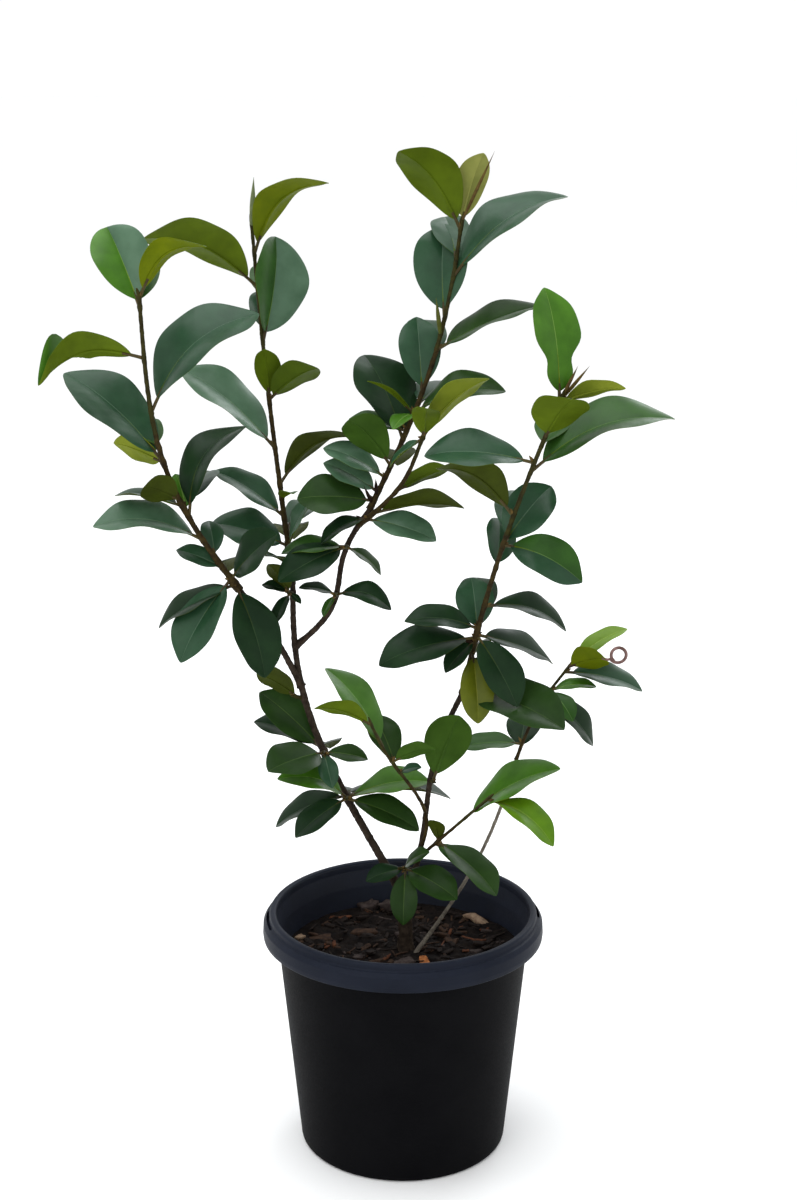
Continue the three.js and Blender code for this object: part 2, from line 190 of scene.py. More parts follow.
def noise_in(group, scale_socket, detail, roughness):
    """A noise texture in the object's own coordinates, its scale taken from a socket"""
    place = group.nodes.new("ShaderNodeTexCoord")
    cloud = group.nodes.new("ShaderNodeTexNoise")
    cloud.inputs["Detail"].default_value = detail
    cloud.inputs["Roughness"].default_value = roughness
    group.links.new(place.outputs["Object"], cloud.inputs["Vector"])
    group.links.new(scale_socket, cloud.inputs["Scale"])
    return cloud.outputs["Fac"]


def ramp_in(group, value, low, high, bottom=None, top=None):
    """A value stretched so that low becomes 0 and high becomes 1, or what two sockets say"""
    stretch = group.nodes.new("ShaderNodeMapRange")
    stretch.inputs["From Min"].default_value = low
    stretch.inputs["From Max"].default_value = high
    group.links.new(value, stretch.inputs["Value"])
    if top is not None:
        group.links.new(bottom, stretch.inputs["To Min"])
        group.links.new(top, stretch.inputs["To Max"])
    return stretch.outputs["Result"]


def blend_in(group, share, first, second):
    """The first colour going over into the second by a share"""
    blend = group.nodes.new("ShaderNodeMix")
    blend.data_type = "RGBA"
    group.links.new(share, blend.inputs["Factor"])
    group.links.new(first, blend.inputs[BLEND_FIRST])
    group.links.new(second, blend.inputs[BLEND_SECOND])
    return blend.outputs[BLEND_RESULT]


def product_in(group, first, second):
    """Two values multiplied"""
    product = group.nodes.new("ShaderNodeMath")
    product.operation = "MULTIPLY"
    group.links.new(first, product.inputs[0])
    group.links.new(second, product.inputs[1])
    return product.outputs["Value"]


# %% Mottle, grain and dust
def mottle_group():
    """Wanders between two colours in patches"""
    inputs = [("Colour", COLOUR, tint(128, 128, 128)), ("Second colour", COLOUR, tint(64, 64, 64)),
              ("Scale", VALUE, 60.0)]
    group, entry, leave = new_group("mottle", inputs, [("Colour", COLOUR)])
    cloud = noise_in(group, entry.outputs["Scale"], detail=4.0, roughness=0.55)
    patch = ramp_in(group, cloud, low=0.36, high=0.64)
    colour = blend_in(group, patch, entry.outputs["Colour"], entry.outputs["Second colour"])
    group.links.new(colour, leave.inputs["Colour"])
    return group


def grain_group():
    """A fine unevenness for bump, and a roughness that follows it"""
    inputs = [("Scale", VALUE, 900.0), ("Smoothest", VALUE, 0.4), ("Roughest", VALUE, 0.6)]
    group, entry, leave = new_group("grain", inputs, [("Height", VALUE), ("Roughness", VALUE)])
    height = noise_in(group, entry.outputs["Scale"], detail=6.0, roughness=0.65)
    rough = ramp_in(group, height, low=0.3, high=0.7, bottom=entry.outputs["Smoothest"],
                    top=entry.outputs["Roughest"])
    group.links.new(height, leave.inputs["Height"])
    group.links.new(rough, leave.inputs["Roughness"])
    return group


def dust_and_sheen_group():
    """Lays a paler colour over another on what faces up, in patches: dust, and on the pot's rim and inside
    a bluish painted sky sheen
    """
    inputs = [("Colour", COLOUR, tint(20, 20, 22)), ("Dust colour", COLOUR, tint(120, 112, 100)),
              ("Scale", VALUE, 120.0), ("Amount", VALUE, 0.3)]
    group, entry, leave = new_group("dust_and_sheen", inputs, [("Colour", COLOUR)])
    shape = group.nodes.new("ShaderNodeNewGeometry")
    split = group.nodes.new("ShaderNodeSeparateXYZ")
    group.links.new(shape.outputs["Normal"], split.inputs["Vector"])
    facing = ramp_in(group, split.outputs["Z"], low=-0.1, high=0.9)
    cloud = noise_in(group, entry.outputs["Scale"], detail=5.0, roughness=0.7)
    patch = ramp_in(group, cloud, low=0.42, high=0.72)
    share = product_in(group, product_in(group, facing, patch), entry.outputs["Amount"])
    colour = blend_in(group, share, entry.outputs["Colour"], entry.outputs["Dust colour"])
    group.links.new(colour, leave.inputs["Colour"])
    return group


MOTTLE = mottle_group()
GRAIN = grain_group()
DUST_AND_SHEEN = dust_and_sheen_group()
print("node groups:", MOTTLE.name, GRAIN.name, DUST_AND_SHEEN.name)

# %% [markdown]
# One function then makes any finish of the plant or pot from a few values:
# two near colours, the scale of their patches, how rough and how glossy the surface is,
# and how deep its grain is. Leaves are waxy and smooth; bark, mix and plastic have grain.

# %% Finishes
FINISHES = {}
GRAIN_DEPTH_MM = 0.6


def place_group(material, group, **values):
    """A node group placed in a material with its own values"""
    node = material.node_tree.nodes.new("ShaderNodeGroup")
    node.node_tree = group
    for label, value in values.items():
        node.inputs[label.replace("_", " ")].default_value = value
    return node


def finish(name, colours, patch_scale, rough, shine=0.2, grain=0.0, grain_scale=900.0, dust_and_sheen=None):
    """A finish: two screen colours in patches, roughness from smoothest to roughest, shine,
    depth and scale of the grain, and dust with painted sheen on what faces up, as a screen colour,
    a scale and an amount"""
    material = bpy.data.materials.new(name)
    material.use_nodes = True
    tree = material.node_tree
    shader = tree.nodes["Principled BSDF"]
    colour, second = [tint(*screen) for screen in colours]
    patches = place_group(material, MOTTLE, Colour=colour, Second_colour=second, Scale=patch_scale)
    surface = place_group(material, GRAIN, Scale=grain_scale, Smoothest=rough[0], Roughest=rough[1])
    top = patches
    # The layer on what faces up is dust, and where its colour is bluish it is painted sky sheen
    if dust_and_sheen:
        top = place_group(material, DUST_AND_SHEEN, Dust_colour=tint(*dust_and_sheen[0]), Scale=dust_and_sheen[1], Amount=dust_and_sheen[2])
        tree.links.new(patches.outputs["Colour"], top.inputs["Colour"])
    tree.links.new(top.outputs["Colour"], shader.inputs["Base Color"])
    tree.links.new(surface.outputs["Roughness"], shader.inputs["Roughness"])
    shader.inputs["Specular IOR Level"].default_value = shine
    if grain:
        bump = tree.nodes.new("ShaderNodeBump")
        bump.inputs["Strength"].default_value = grain
        bump.inputs["Distance"].default_value = GRAIN_DEPTH_MM * MM
        tree.links.new(surface.outputs["Height"], bump.inputs["Height"])
        tree.links.new(bump.outputs["Normal"], shader.inputs["Normal"])
    material.diffuse_color = colour
    FINISHES[name] = material


# %% [markdown]
# Magnolia leaves are dark and waxy above and matt olive below; the olive below is made brighter
# to stand in for light shining through the leaf, which is painted light.
# The photograph shows several sorts: deep green and a darker leafy green, which are painted shade
# for leaves in the shade and inside the crown; bluish and paler still, which are painted sky
# reflection where they mirror the sky; plain mid green; fresh and spring green on young leaves,
# and a soft green that is fresh green with painted sheen; lime and pale green on the newest growth,
# and a few that have turned olive.
# A leaf is given one sort as a whole, or one for each half, so no colour depends on a pattern;
# where the halves differ, one half is painted lighter or bluer, as painted light on the half that catches
# the sky.

# %% Leaf finishes
LEAF_PATCHES = 55.0
LEAF_GRAIN = 260.0
# Of these sorts, deep and leafy are darker copies of the leaf green that paint shade, blue and sheen are
# bluer and paler copies that paint sky reflection, and soft is fresh green with painted sheen
UPPER = {
    "deep": ((26, 49, 26), (19, 40, 21)),
    "leafy": ((38, 63, 24), (31, 54, 20)),
    "blue": ((40, 72, 48), (32, 62, 40)),
    "sheen": ((76, 106, 82), (62, 92, 68)),
    "mid": ((44, 80, 26), (36, 68, 22)),
    "fresh": ((66, 110, 26), (54, 94, 20)),
    "soft": ((74, 113, 46), (62, 98, 38)),
    "spring": ((84, 122, 14), (70, 106, 12)),
    "lime": ((104, 134, 40), (90, 120, 30)),
    "pale": ((116, 142, 112), (100, 128, 96)),
    "olive": ((90, 98, 16), (76, 84, 14)),
}
# Undersides are olive, made brighter to stand in for light shining through the leaf, which is painted
# light; the darker sorts' undersides are painted shade
UNDER = {
    "deep": ((56, 66, 14), (48, 56, 12)),
    "leafy": ((56, 84, 24), (48, 74, 20)),
    "blue": ((74, 92, 18), (64, 80, 16)),
    "sheen": ((80, 98, 30), (70, 88, 26)),
    "mid": ((82, 100, 14), (72, 88, 12)),
    "fresh": ((100, 112, 6), (88, 102, 8)),
    "soft": ((100, 112, 16), (88, 102, 16)),
    "spring": ((104, 118, 10), (92, 108, 10)),
    "lime": ((122, 132, 40), (108, 120, 32)),
    "pale": ((146, 148, 80), (130, 134, 68)),
    "olive": ((90, 96, 12), (78, 82, 12)),
}
RIB = {
    "deep": ((52, 74, 46), (44, 62, 40)),
    "leafy": ((70, 94, 46), (60, 82, 40)),
    "blue": ((76, 102, 80), (66, 90, 70)),
    "sheen": ((104, 130, 104), (92, 118, 92)),
    "mid": ((84, 116, 58), (72, 102, 50)),
    "fresh": ((108, 142, 64), (96, 128, 56)),
    "soft": ((108, 142, 80), (96, 128, 70)),
    "spring": ((122, 150, 56), (108, 136, 48)),
    "lime": ((136, 158, 78), (122, 144, 66)),
    "pale": ((150, 168, 124), (136, 154, 110)),
    "olive": ((116, 122, 40), (102, 106, 34)),
}
# Each side: its colours, and its roughness from smoothest to roughest
LEAF_SIDES = {
    "upper_": (UPPER, (0.30, 0.42)),
    "under_": (UNDER, (0.55, 0.70)),
    "rib_": (RIB, (0.40, 0.55)),
}
SHINE = {"deep": 0.1, "leafy": 0.1, "blue": 0.2, "sheen": 0.25, "pale": 0.25}
USUAL_SHINE = 0.14
UNDER_SHINE = 0.06
for sort in UPPER:
    for side, (colours, rough) in LEAF_SIDES.items():
        shine = UNDER_SHINE if side == "under_" else SHINE.get(sort, USUAL_SHINE)
        finish(side + sort, colours[sort], LEAF_PATCHES, rough, shine=shine, grain_scale=LEAF_GRAIN)
finish("stalk", ((70, 62, 26), (54, 42, 22)), patch_scale=90.0, rough=(0.45, 0.6))
print("leaf finishes:", len(FINISHES))

# %% [markdown]
# The limbs repeat the solids' rule: a limb has a foot, a reach, a bow to one side and a sway,
# and a share t of its length gives a point on it. All rows are in millimetres, as in the solids.
# A limb may stand on another one, at a share of that one's length.

# %% Limb rows
GROUND = 144.3
LIMBS = {
    "trunk": dict(foot=(2, 0, GROUND), reach=(-1, 0, 43), thick=(4.8, 5.0), flare=1.8),
    "stem_left": dict(on=("trunk", 1), shift=(-1.9, 0, 0.3), reach=(-75, 10, 228), bow=(-21, 0, 0),
                      sway=(2, 0, 0), thick=(2.9, 1.9)),
    "stem_right": dict(on=("trunk", 1), shift=(3.4, 0, 0.3), reach=(36, -20, 155), bow=(-5, 0, 0),
                       sway=(3, 0, 0), thick=(1.9, 1.9)),
    "left_bough": dict(on=("stem_left", 0.665), reach=(-41, -10, 72), bow=(3, 0, 0), thick=(2.2, 1.9)),
    "right_bough": dict(on=("stem_left", 0.79), reach=(52, 0, 97), bow=(4.5, 0, -3), sway=(6, 0, 0),
                        thick=(2.0, 1.8)),
    "far_stem": dict(foot=(9.5, -6.5, GROUND), reach=(72, 46, 129), bow=(9.5, 0, 0), thick=(1.3, 1.2),
                     flare=0.5),
}
print("limbs:", ", ".join(LIMBS))

# %% [markdown]
# Each shoot is one leafy mass. Its leaves are rows of: kind, place along the shoot,
# clock direction in the front view, lean away from the front, length, how far the upper side
# is turned to the front, and the sort of green. The order of the rows seeds each leaf's own shape.

# %% Shoot rows
# A leaf's sort sets its green: the deep and leafy sorts are painted shade, and the blue, sheen and soft
# sorts are painted sky reflection
SHOOTS = {
    "left_leader": dict(on=("left_bough", 1), reach=(-55.5, -50, 205), bow=(-21, 0, 0), sway=(-2, 0, 0),
                        thick=(2.0, 1.3), leaves=[
        ("old", 0.02, 290, -20, 66, 10, "deep"), ("old", 0.02, 207, -10, 59, 15, "deep"),
        ("old", 0.04, 236, -25, 66, 15, "blue"), ("broad", 0.04, 48, -20, 50, 55, "deep"),
        ("old", 0.08, 160, 10, 34, 40, "blue"), ("old", 0.12, 106, 50, 32, 0, "blue"),
        ("arched", 0.18, 170, -5, 73, 12, "sheen"), ("old", 0.3, 174, 20, 50, 0, "blue"),
        ("hooked", 0.26, 58, 25, 74, 4, "deep"), ("green", 0.28, 108, 30, 28, 0, "fresh"),
        ("broad", 0.32, 145, -40, 33, -50, "deep"), ("broad", 0.45, 161, 20, 38, -65, "lime"),
        ("old", 0.45, 139, 15, 90, 22, "blue"), ("arched", 0.62, 43, 15, 95, 16, "blue"),
        ("hooked", 0.8, 191, -15, 69, -42, "mid|fresh"), ("cupped", 0.96, 115, 28, 62, 20, "fresh|sheen"),
        ("hooked", 0.99, 39, -20, 60, -14, "fresh"), ("old", 0.1, 275, 70, 50, 0, "deep"),
        ("old", 0.3, 48, 66, 52, 0, "blue"), ("old", 0.5, 160, 58, 56, 0, "mid"),
        ("old", 0.97, 100, 60, 52, 0, "mid")]),
    "back_leader": dict(on=("stem_left", 1), reach=(-30, 80, 238), bow=(-2, 0, 0), thick=(1.9, 1.2),
                        leaves=[
        ("old", 0.03, 135, -50, 34, 0, "deep"), ("broad", 0.09, 163, 4, 55, 28, "blue"),
        ("old", 0.09, 64, -14, 42, 40, "sheen"), ("old", 0.17, 147, 10, 58, 18, "blue"),
        ("old", 0.22, 45, -60, 25, 0, "mid"), ("hooked", 0.26, 35, -15, 68, -27, "deep"),
        ("old", 0.36, 140, 10, 86, 10, "sheen"), ("old", 0.5, 92, -20, 38, 0, "mid"),
        ("old", 0.495, 38, -30, 50, -28, "blue"), ("cupped", 0.655, 82, 14, 74, 76, "mid|sheen"),
        ("arched", 0.81, 152, -25, 90, -27, "mid"), ("hooked", 0.9, 45, -15, 75, -18, "fresh"),
        ("bud", 0.98, 87, 5, 34, 0, "grey"), ("old", 0.14, 280, 70, 52, 0, "deep"),
        ("old", 0.14, 16, 62, 54, 0, "blue"), ("old", 0.68, 76, 58, 54, 0, "blue"),
        ("old", 0.78, 58, 62, 52, 0, "mid")]),
    "centre_leader": dict(on=("right_bough", 1), reach=(63, 45, 192), bow=(11, 0, 0), thick=(1.8, 1.3),
                          leaves=[
        ("broad", 0.03, 176, -7, 52, 38, "leafy"), ("old", 0.06, 152, 10, 42, 35, "sheen"),
        ("old", 0.11, 153, 2, 46, 25, "sheen"), ("arched", 0.15, 127, -31, 54, -42, "leafy"),
        ("old", 0.27, 169, 15, 41, 20, "mid"), ("broad", 0.24, 115, 26, 67, 0, "deep"),
        ("slim", 0.33, 140, -20, 42, 0, "mid"), ("young", 0.33, 200, -60, 30, 0, "fresh"),
        ("arched", 0.33, 17, -10, 64, 20, "leafy"), ("old", 0.4, 94, 27, 55, 0, "blue"),
        ("old", 0.55, 22, 5, 80, 15, "leafy"), ("old", 0.655, 90, 32, 72, -20, "blue"),
        ("arched", 0.8, 35, 15, 97, 15, "blue"), ("arched", 0.96, 127, -20, 72, -34, "mid"),
        ("young", 0.98, 74, -8, 50, -45, "pale"), ("bud", 0.99, 66, -16, 54, 0, "brown"),
        ("old", 0.2, 270, 70, 50, 0, "deep"), ("old", 0.36, 20, 60, 56, 0, "blue"),
        ("old", 0.5, 105, 62, 56, 0, "blue"), ("old", 0.86, 104, 60, 54, 0, "blue"),
        ("bud", 0.6, 97, -18, 28, 0, "green")]),
    "front_shoot": dict(on=("right_bough", 0.9), reach=(54, -49, 92), bow=(9, 0, 0), sway=(3, 0, 0),
                        thick=(1.6, 1.2), leaves=[
        ("old", 0.05, 348, -20, 51, 28, "sheen"), ("arched", 0.06, 206, -15, 36, 20, "deep"),
        ("old", 0.1, 7, -10, 62, -28, "deep"), ("old", 0.28, 25, 0, 40, -40, "blue"),
        ("old", 0.72, 222, 10, 30, 20, "blue"), ("young", 0.72, 85, -50, 40, -10, "mid"),
        ("young", 0.74, 46, -20, 62, -24, "lime")]),
    "right_leader": dict(on=("stem_right", 1), reach=(60, -50, 212), bow=(-6, 0, 0), thick=(1.9, 1.3),
                         leaves=[
        ("old", 0.03, 347, -35, 80, 25, "leafy"), ("young", 0.15, 275, -30, 49, 0, "olive"),
        ("old", 0.2, 191, -15, 68, 20, "deep"), ("old", 0.19, 222, -25, 30, 20, "deep"),
        ("old", 0.21, 303, -30, 56, 25, "deep"), ("old", 0.21, 336, 15, 60, 22, "deep"),
        ("arched", 0.23, 170, -10, 50, 30, "deep"), ("broad", 0.22, 96, 30, 38, 0, "blue"),
        ("arched", 0.31, 344, 0, 57, 15, "deep"), ("old", 0.44, 82, 50, 42, 30, "blue"),
        ("arched", 0.52, 339, -20, 57, 40, "mid|blue"), ("broad", 0.52, 50, 15, 50, 30, "blue"),
        ("hooked", 0.615, 143, -20, 66, -40, "deep"), ("old", 0.79, 175, 0, 70, 25, "blue"),
        ("arched", 0.76, 21, 5, 98, 20, "mid"), ("broad", 0.87, 66, -46, 50, -10, "mid"),
        ("green", 0.98, 97, 14, 73, 0, "fresh"), ("young", 0.98, 18, -20, 44, -38, "lime"),
        ("bud", 0.99, 66, -10, 25, 0, "brown"), ("bud", 0.99, 50, 5, 28, 0, "brown"),
        ("old", 0.17, 278, 70, 54, 0, "deep"), ("old", 0.24, 88, 66, 54, 0, "deep"),
        ("old", 0.55, 50, 62, 56, 0, "blue"), ("old", 0.84, 30, 60, 54, 0, "mid")]),
    "round_spur": dict(on=("stem_right", 0.575), reach=(2, -6, 1), thick=(1.2, 1.1), leaves=[
        ("green", 0.9, 72, -14, 57, -48, "leafy")]),
    "side_shoot": dict(on=("stem_right", 0.22), reach=(-34, -41, 108), bow=(11, 0, 0), sway=(5, 0, 0),
                       thick=(1.4, 1.0), leaves=[
        ("old", 0.7, 29, -25, 36, -45, "leafy"), ("old", 0.67, 118, 40, 42, 0, "leafy"),
        ("green", 0.8, 126, 15, 67, 7, "soft"), ("green", 0.98, 152, -25, 46, -30, "mid"),
        ("old", 0.62, 24, -24, 17, 35, "blue")]),
    "low_right_shoot": dict(on=("stem_right", 0.18), reach=(47, -58, 67), thick=(1.2, 1.0), leaves=[
        ("old", 0.28, 326, -30, 56, 0, "leafy"), ("old", 0.28, 98, -30, 24, 10, "deep"),
        ("green", 0.67, 34, -10, 75, 16, "fresh"), ("arched", 0.97, 332, -25, 54, 5, "spring"),
        ("green", 0.24, 324, -5, 25, 40, "mid")]),
    "far_shoot": dict(on=("far_stem", 1), reach=(42, 25, 67), bow=(-4, 0, 2), thick=(1.2, 1.0), leaves=[
        ("green", 0.15, 183, 0, 44, 15, "mid"), ("broad", 0.1, 70, 60, 36, 0, "deep"),
        ("old", 0.6, 290, -50, 26, 0, "mid"), ("old", 0.62, 312, 10, 55, 45, "deep"),
        ("green", 0.68, 315, -50, 32, 10, "mid"), ("young", 0.68, 6, 0, 33, 14, "fresh"),
        ("old", 0.88, 347, 0, 58, 20, "blue"), ("broad", 0.93, 31, -40, 37, -50, "fresh"),
        ("young", 0.98, 31, 10, 47, 20, "lime")]),
    "fork_spur": dict(on=("stem_right", 0.12), reach=(-9, -8, 4), thick=(1.3, 1.1), leaves=[
        ("green", 0.8, 267, -30, 39, 0, "leafy"), ("green", 0.9, 343, -35, 46, 20, "leafy"),
        ("green", 0.85, 190, -20, 29, 20, "deep"), ("green", 0.95, 46, -28, 28, 35, "leafy")]),
    "low_front_spur": dict(on=("stem_left", 0.31), reach=(0, -7, 2), thick=(1.3, 1.1), leaves=[
        ("green", 0.7, 14, -2, 59, 6, "fresh"), ("old", 0.8, 339, -10, 55, 26, "leafy"),
        ("arched", 0.75, 157, -14, 52, 22, "fresh"), ("old", 0.95, 211, -25, 45, 25, "deep")]),
    "low_back_spur": dict(on=("stem_left", 0.3), reach=(0, 7, 2), thick=(1.3, 1.1), leaves=[
        ("old", 0.7, 358, 6, 72, -15, "deep"), ("old", 0.8, 165, 10, 24, 0, "deep"),
        ("old", 0.9, 205, 5, 58, 13, "deep"), ("old", 0.95, 285, 72, 46, 0, "deep")]),
    "mid_front_spur": dict(on=("stem_left", 0.456), reach=(0, -7, 2), thick=(1.3, 1.1), leaves=[
        ("broad", 0.7, 180, -45, 51, 25, "leafy"), ("old", 0.8, 355, -10, 31, 25, "leafy"),
        ("old", 0.95, 290, -50, 29, 10, "blue")]),
    "mid_back_spur": dict(on=("stem_left", 0.456), reach=(-3, 6, 2), thick=(1.3, 1.1), leaves=[
        ("old", 0.7, 138, 10, 58, 38, "leafy"), ("old", 0.9, 160, 10, 50, 10, "deep"),
        ("old", 0.95, 290, 70, 44, 0, "deep")]),
    "upper_spur": dict(on=("stem_left", 0.627), reach=(-5, -3, 2), thick=(1.2, 1.1), leaves=[
        ("broad", 0.9, 149, 5, 33, -55, "deep")]),
    "top_spur": dict(on=("stem_left", 0.955), reach=(-2, -6, 2), thick=(1.2, 1.1), leaves=[
        ("old", 0.8, 242, -30, 24, 0, "deep"), ("old", 0.9, 165, 10, 20, 20, "deep"),
        ("young", 0.9, 325, -38, 12, 30, "deep"), ("broad", 0.9, 122, -10, 26, -40, "deep")]),
    "bough_low_spur": dict(on=("right_bough", 0.41), reach=(0, -6, 2), thick=(1.2, 1.1), leaves=[
        ("hooked", 0.75, 348, -10, 39, 30, "deep"), ("old", 0.95, 166, -10, 26, 20, "deep"),
        ("young", 0.85, 237, -30, 18, 0, "mid")]),
    "bough_high_spur": dict(on=("right_bough", 0.75), reach=(0, -6, 2), thick=(1.2, 1.1), leaves=[
        ("green", 0.75, 322, -5, 30, 14, "leafy"), ("old", 0.85, 201, -28, 54, 38, "deep"),
        ("old", 0.95, 183, -9, 44, 20, "mid")]),
}
print("shoots:", len(SHOOTS), "leaf rows:", sum(len(row["leaves"]) for row in SHOOTS.values()))

# %% [markdown]
# These few functions are the growing rule itself: a seeded share, a point along a limb,
# a direction from its clock angle and lean, and the placing of a limb on the one it grows from.

# %% The growing rule
KIND, PLACE, CLOCK, LEAN, LENGTH, FACE, SORT = range(7)
UP = np.array([0.0, 0.0, 1.0])
FRONT = np.array([0.0, -1.0, 0.0])
STILL = (0, 0, 0)
SCATTER = (12.9898, 43758.5453)
ROWS = {**LIMBS, **SHOOTS}
GROWN = {}


def chance(seed):
    """A share between 0 and 1 that always comes out the same for the same seed"""
    wave = math.sin(seed * SCATTER[0]) * SCATTER[1]
    return wave - math.floor(wave)


def along(limb, shares):
    """Points of a limb at shares of its length"""
    t = np.atleast_1d(np.asarray(shares, float))[:, None]
    held = np.minimum(t, 1)
    bowed = limb["bow"] * np.sin(math.pi * held) + limb["sway"] * np.sin(2 * math.pi * held)
    return limb["foot"] + limb["reach"] * t + bowed


def heading(clock, lean):
    """A direction from its clock angle in the front view and its lean away from the front"""
    turn, tilt = math.radians(clock), math.radians(lean)
    return np.array([math.cos(tilt) * math.cos(turn), math.sin(tilt), math.cos(tilt) * math.sin(turn)])


def grow(name):
    """A limb or shoot placed on the limb that it grows from"""
    row = ROWS[name]
    if "on" in row:
        foot = along(GROWN[row["on"][0]], row["on"][1])[0]
    else:
        foot = np.array(row["foot"], float)
    limb = {label: np.array(row.get(label, STILL), float) for label in ("reach", "bow", "sway")}
    limb["foot"] = foot + np.array(row.get("shift", STILL))
    limb["thick"] = row["thick"]
    limb["flare"] = row.get("flare", 0.0)
    GROWN[name] = limb


for name in ROWS:
    grow(name)
print("grown:", ", ".join(GROWN))

# %% [markdown]
# A sheaf becomes a Blender object here. The mesh is smooth except at its sharp edges,
# so a leaf keeps a crisp margin. The piece rides on the only body and stands for its solids,
# which are hidden.

# %% From sheaf to piece
MAP_NAME = "OFBake"
SHARP_DEG = 50
TOTALS = {}


def make_piece(name, sheaf, slot, *nodes):
    """One object from a sheaf, riding on the body, standing for its nodes"""
    names = sorted(set(sheaf.finishes))
    mesh = bpy.data.meshes.new(name)
    points = np.concatenate(sheaf.points) * MM
    faces = np.concatenate(sheaf.faces)
    mesh.from_pydata(points.tolist(), [], faces.tolist())
    for finish_name in names:
        mesh.materials.append(FINISHES[finish_name])
    order = {finish_name: index for index, finish_name in enumerate(names)}
    mesh.polygons.foreach_set("material_index", [order[finish_name] for finish_name in sheaf.finishes])
    places = np.concatenate(sheaf.places)
    if places.any():
        flat = mesh.uv_layers.new(name=MAP_NAME)
        flat.uv.foreach_set("vector", places[faces.ravel()].astype(np.float32).ravel())
    mesh.shade_smooth()
    mesh.set_sharp_from_angle(angle=math.radians(SHARP_DEG))
    mesh.validate()
    piece = bpy.data.objects.new(name, mesh)
    bpy.context.collection.objects.link(piece)
    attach(piece, "root")
    if nodes:
        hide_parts(*nodes)
    TOTALS[name] = 2 * len(faces)


# %% [markdown]
# Bark on a plant this young is thin: dark, nearly smooth, with fine lengthwise ridges,
# pale breathing pores and a swollen ring with a scar wherever a leaf sits.
# A curve with a bevel would give a smooth pipe only, so each limb is a tube of rings whose radius
# is worked out point by point: taper, flare at the ground, collar at a fork, swellings and ridges.

# %% Bark and bud finishes
# Each bark: its two colours, the scale of their patches, roughness, depth and scale of the grain
BARKS = {
    "bark_old": (((60, 50, 41), (36, 28, 22)), 240.0, (0.65, 0.9), 0.6, 1400.0),
    "bark_young": (((58, 47, 19), (37, 28, 12)), 210.0, (0.55, 0.8), 0.45, 1600.0),
    "bark_grey": (((124, 117, 106), (90, 83, 75)), 240.0, (0.65, 0.9), 0.6, 1400.0),
    "bark_green": (((54, 51, 18), (37, 33, 12)), 210.0, (0.5, 0.75), 0.4, 1600.0),
}
BUDS = {
    "bud_brown": ((98, 80, 42), (76, 58, 32)),
    "bud_green": ((94, 98, 44), (78, 82, 36)),
    "bud_grey": ((114, 122, 86), (98, 108, 76)),
}
for bark_name, (colours, patch_scale, rough, grain, grain_scale) in BARKS.items():
    finish(bark_name, colours, patch_scale, rough, shine=0.1, grain=grain, grain_scale=grain_scale)
for bud_name, colours in BUDS.items():
    finish(bud_name, colours, patch_scale=200.0, rough=(0.55, 0.75), shine=0.08, grain=0.5,
           grain_scale=2200.0)
print("bark and bud finishes:", len(BARKS) + len(BUDS))

# %% Rings round a line
NUDGE = 0.01
STEEP = 0.8


def steps_round(sides):
    """Even angles once round"""
    return np.linspace(0, 2 * math.pi, sides, endpoint=False)


def ring_ways(level, across, sides):
    """Directions round a ring, for each row of two cross directions"""
    turn = steps_round(sides)[None, :, None]
    return level[:, None] * np.cos(turn) + across[:, None] * np.sin(turn)


def tube_frame(limb, shares):
    """Centre, tangent and two cross directions at shares of a limb"""
    centre = along(limb, shares)
    tangent = unit(along(limb, shares + NUDGE) - along(limb, shares - NUDGE))
    level = UP if abs(unit(limb["reach"]) @ FRONT) > STEEP else FRONT
    side = unit(np.cross(tangent, level))
    return centre, tangent, side, np.cross(side, tangent)


# %% Taper and knots
FLARE_SPAN = 0.3
COLLAR_SHARE = 0.55
COLLAR_REACH = 2.2
END_TAPER = 0.55
LIMB_END = 0.97


def plain_radius(name, shares, end_mm):
    """A limb's radius along its length: taper, flare at the ground, collar at a fork, slimmer end"""
    limb = GROWN[name]
    length = np.linalg.norm(limb["reach"])
    first, last = limb["thick"]
    radius = first + (last - first) * np.clip(shares, 0, 1)
    radius = radius + limb["flare"] * np.maximum(0, 1 - shares / FLARE_SPAN) ** 2
    if "on" in ROWS[name]:
        radius = radius * (1 + COLLAR_SHARE * np.exp(-shares * length / (COLLAR_REACH * first)))
    if end_mm:
        ease = np.clip((shares - shares[-1]) * length / end_mm + 1, 0, 1)
        radius = radius * (1 - END_TAPER * ease ** 2)
    return radius


def knots_of(name):
    """The shares and directions at which leaves and other limbs stand on a limb"""
    leaves = ROWS[name].get("leaves", [])
    found = [(leaf[PLACE], heading(leaf[CLOCK], leaf[LEAN])) for leaf in leaves]
    for row in ROWS.values():
        if row.get("on", ("", 0))[0] == name and row["on"][1] < LIMB_END:
            found.append((row["on"][1], unit(np.array(row["reach"], float))))
    return found


print("knots on the left stem:", len(knots_of("stem_left")))

# %% Bark tubes
RING_STEP_MM = 1.1
FEWEST_RINGS = 6
SOWN_MM = 5
STEM_STOPS = {"front_shoot": 0.76}
KNOT_MM = 2.6
KNOT_RISE = 0.34
KNOT_ROUND = 0.45
SCAR_MM = 0.55
SCAR_BELOW_MM = 1.2
SCAR_DEPTH = 0.09
RIDGE_MM = 1.6
RIDGE_DEPTH = 0.055
RIDGE_DRAWN = 0.8
PORE_MM = 2.3
PORE_DEPTH = 0.05
SEED_STEP = 7
DOME_RINGS = 4
DOME_RISE = 0.8
DOME_LEAST = 0.02
YOUNG_END = 0.55
LIMB_SIDES = 20


